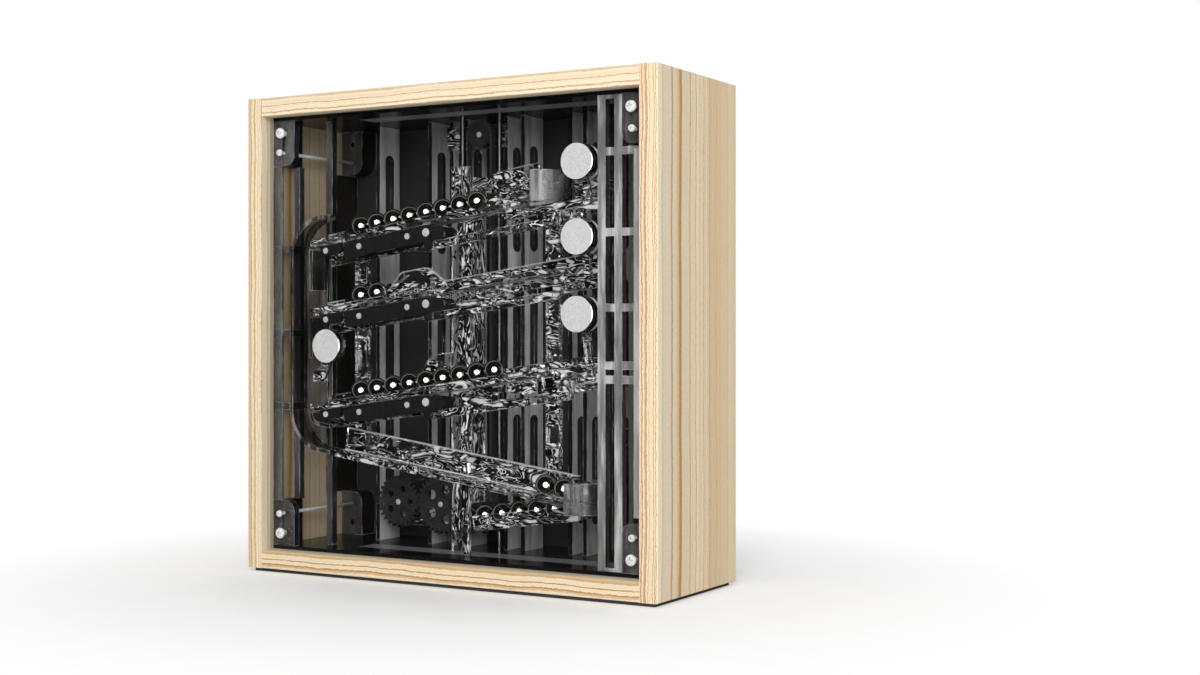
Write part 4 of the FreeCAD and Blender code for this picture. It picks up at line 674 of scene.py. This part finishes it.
def wall_trim():
    """Thin strip of painted light grey behind the front panel, along the right wall between the
    brackets.
    """
    panel_back = max(corner[Y] for corner in nodes["front_panel"].bound_box)
    wall = min(corner[X] for corner in nodes["right_side"].bound_box)
    near, far = panel_back + TRIM_NEAR, panel_back + TRIM_FAR
    size = Matrix.Diagonal((TRIM_WIDTH, far - near, TRIM_ABOVE - TRIM_BELOW, 1))
    middle = Matrix.Translation((wall - TRIM_MIDDLE_FROM_WALL, (near + far) / 2,
                                 (TRIM_BELOW + TRIM_ABOVE) / 2))
    shape = bmesh.new()
    bmesh.ops.create_cube(shape, size=1.0, matrix=middle @ size)
    # Its greys are painted light, as on the other bars.
    pale = smoked_bar_painted_light("wall trim", Y, (0.45, 0.65, 0.85), clearness=0.1)
    piece = linked("right_wall_trim", shape, [pale])
    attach(piece, nodes["side_frames"]["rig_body"])


wall_trim()
for row in ("minute", "ten_minute", "hour"):
    row_screws(row)
for node in ("minute_balls", "ten_minute_balls", "hour_balls", "queue_balls", "lift_ball"):
    balls(node)
screw_set()
axle_set()
for node in ("minute_trip_weight", "ten_minute_trip_weight", "hour_trip_weight", "brake_weight"):
    weight(node)


# ---------------------------------------------------------------- stage, light and camera

FLOOR_REACH = 6.0
FLOOR_FADE = ((0.08, 0.0), (0.30, 1.0))
SEEN_LEVEL, FILL_LEVEL, MIRROR_LEVEL = 1.0, 0.58, 0.05
CASE_MIDDLE = (0.0, 0.0, 0.132)
KEY_PLACE, KEY_SIZE, KEY_POWER = (0.9, -1.6, 0.85), 1.0, 27
GLINT_PLACE, GLINT_SIZE, GLINT_POWER = (0.78, -1.16, 0.16), 1.5, 85
CAMERA_PLACE, CAMERA_TURN, CAMERA_SHIFT = (0.5043, -0.7491, 0.132), 30, -0.0036
LENS, SENSOR_WIDTH = 50.0, 36.0


def stage_floor():
    """Pale floor with the clock's shadow, plain white further off and left out of mirrors."""
    t = Tree("floor paint")
    place = t.place()
    speck = t.ramp(t.noise(place, scale=40.0), (0.3, 0.95), (0.7, 0.98))
    paint = t.add("BsdfPrincipled", {"Base Color": speck, "Roughness": 0.9,
                                     "Specular IOR Level": 0.0})
    ray = t.add("LightPath").outputs
    far = t.ramp(t.vector_math("LENGTH", {0: place}, "Value"), *FLOOR_FADE)
    white = t.add("Emission", {"Color": rgba(1.0)})
    ground = t.mix(t.math("MULTIPLY", far, ray["Is Camera Ray"]), paint, white)
    unseen = t.mix(ray["Is Glossy Ray"], ground, t.add("BsdfTransparent"))
    shape = bmesh.new()
    bmesh.ops.create_grid(shape, x_segments=1, y_segments=1, size=FLOOR_REACH)
    floor = linked("floor", shape, [t.surface(unseen)])


def surroundings():
    """White to the eye, softer as a light, dim in mirrors so that the lamps show as highlights."""
    t = Tree("studio", world=True)
    ray = t.add("LightPath").outputs
    seen, fill, mirrored = (t.add("Background", {"Color": rgba(1.0), "Strength": level})
                            for level in (SEEN_LEVEL, FILL_LEVEL, MIRROR_LEVEL))
    unseen = t.mix(ray["Is Glossy Ray"], fill, mirrored)
    bpy.context.scene.world = t.surface(t.mix(ray["Is Camera Ray"], unseen, seen))


def lamp(name, place, size, power, diffuse=True, glossy=True):
    """A disc lamp that points at the middle of the case."""
    data = bpy.data.lights.new(name, "AREA")
    data.shape = "DISK"
    data.size = size
    data.energy = power
    made = bpy.data.objects.new(name, data)
    made.location = place
    aim = Vector(CASE_MIDDLE) - Vector(place)
    made.rotation_euler = aim.to_track_quat("-Z", "Y").to_euler()
    made.visible_diffuse = diffuse
    made.visible_glossy = glossy
    bpy.context.scene.collection.objects.link(made)


stage_floor()
surroundings()
lamp("key", KEY_PLACE, KEY_SIZE, KEY_POWER, glossy=False)
lamp("ball highlight", GLINT_PLACE, GLINT_SIZE, GLINT_POWER, diffuse=False)

camera = bpy.data.objects.new("camera", bpy.data.cameras.new("camera"))
camera.data.lens = LENS
camera.data.sensor_width = SENSOR_WIDTH
camera.data.shift_y = CAMERA_SHIFT
camera.location = CAMERA_PLACE
camera.rotation_euler = (math.radians(90), 0, math.radians(CAMERA_TURN))
bpy.context.scene.collection.objects.link(camera)
bpy.context.scene.camera = camera
bpy.context.scene.view_settings.view_transform = "Standard"
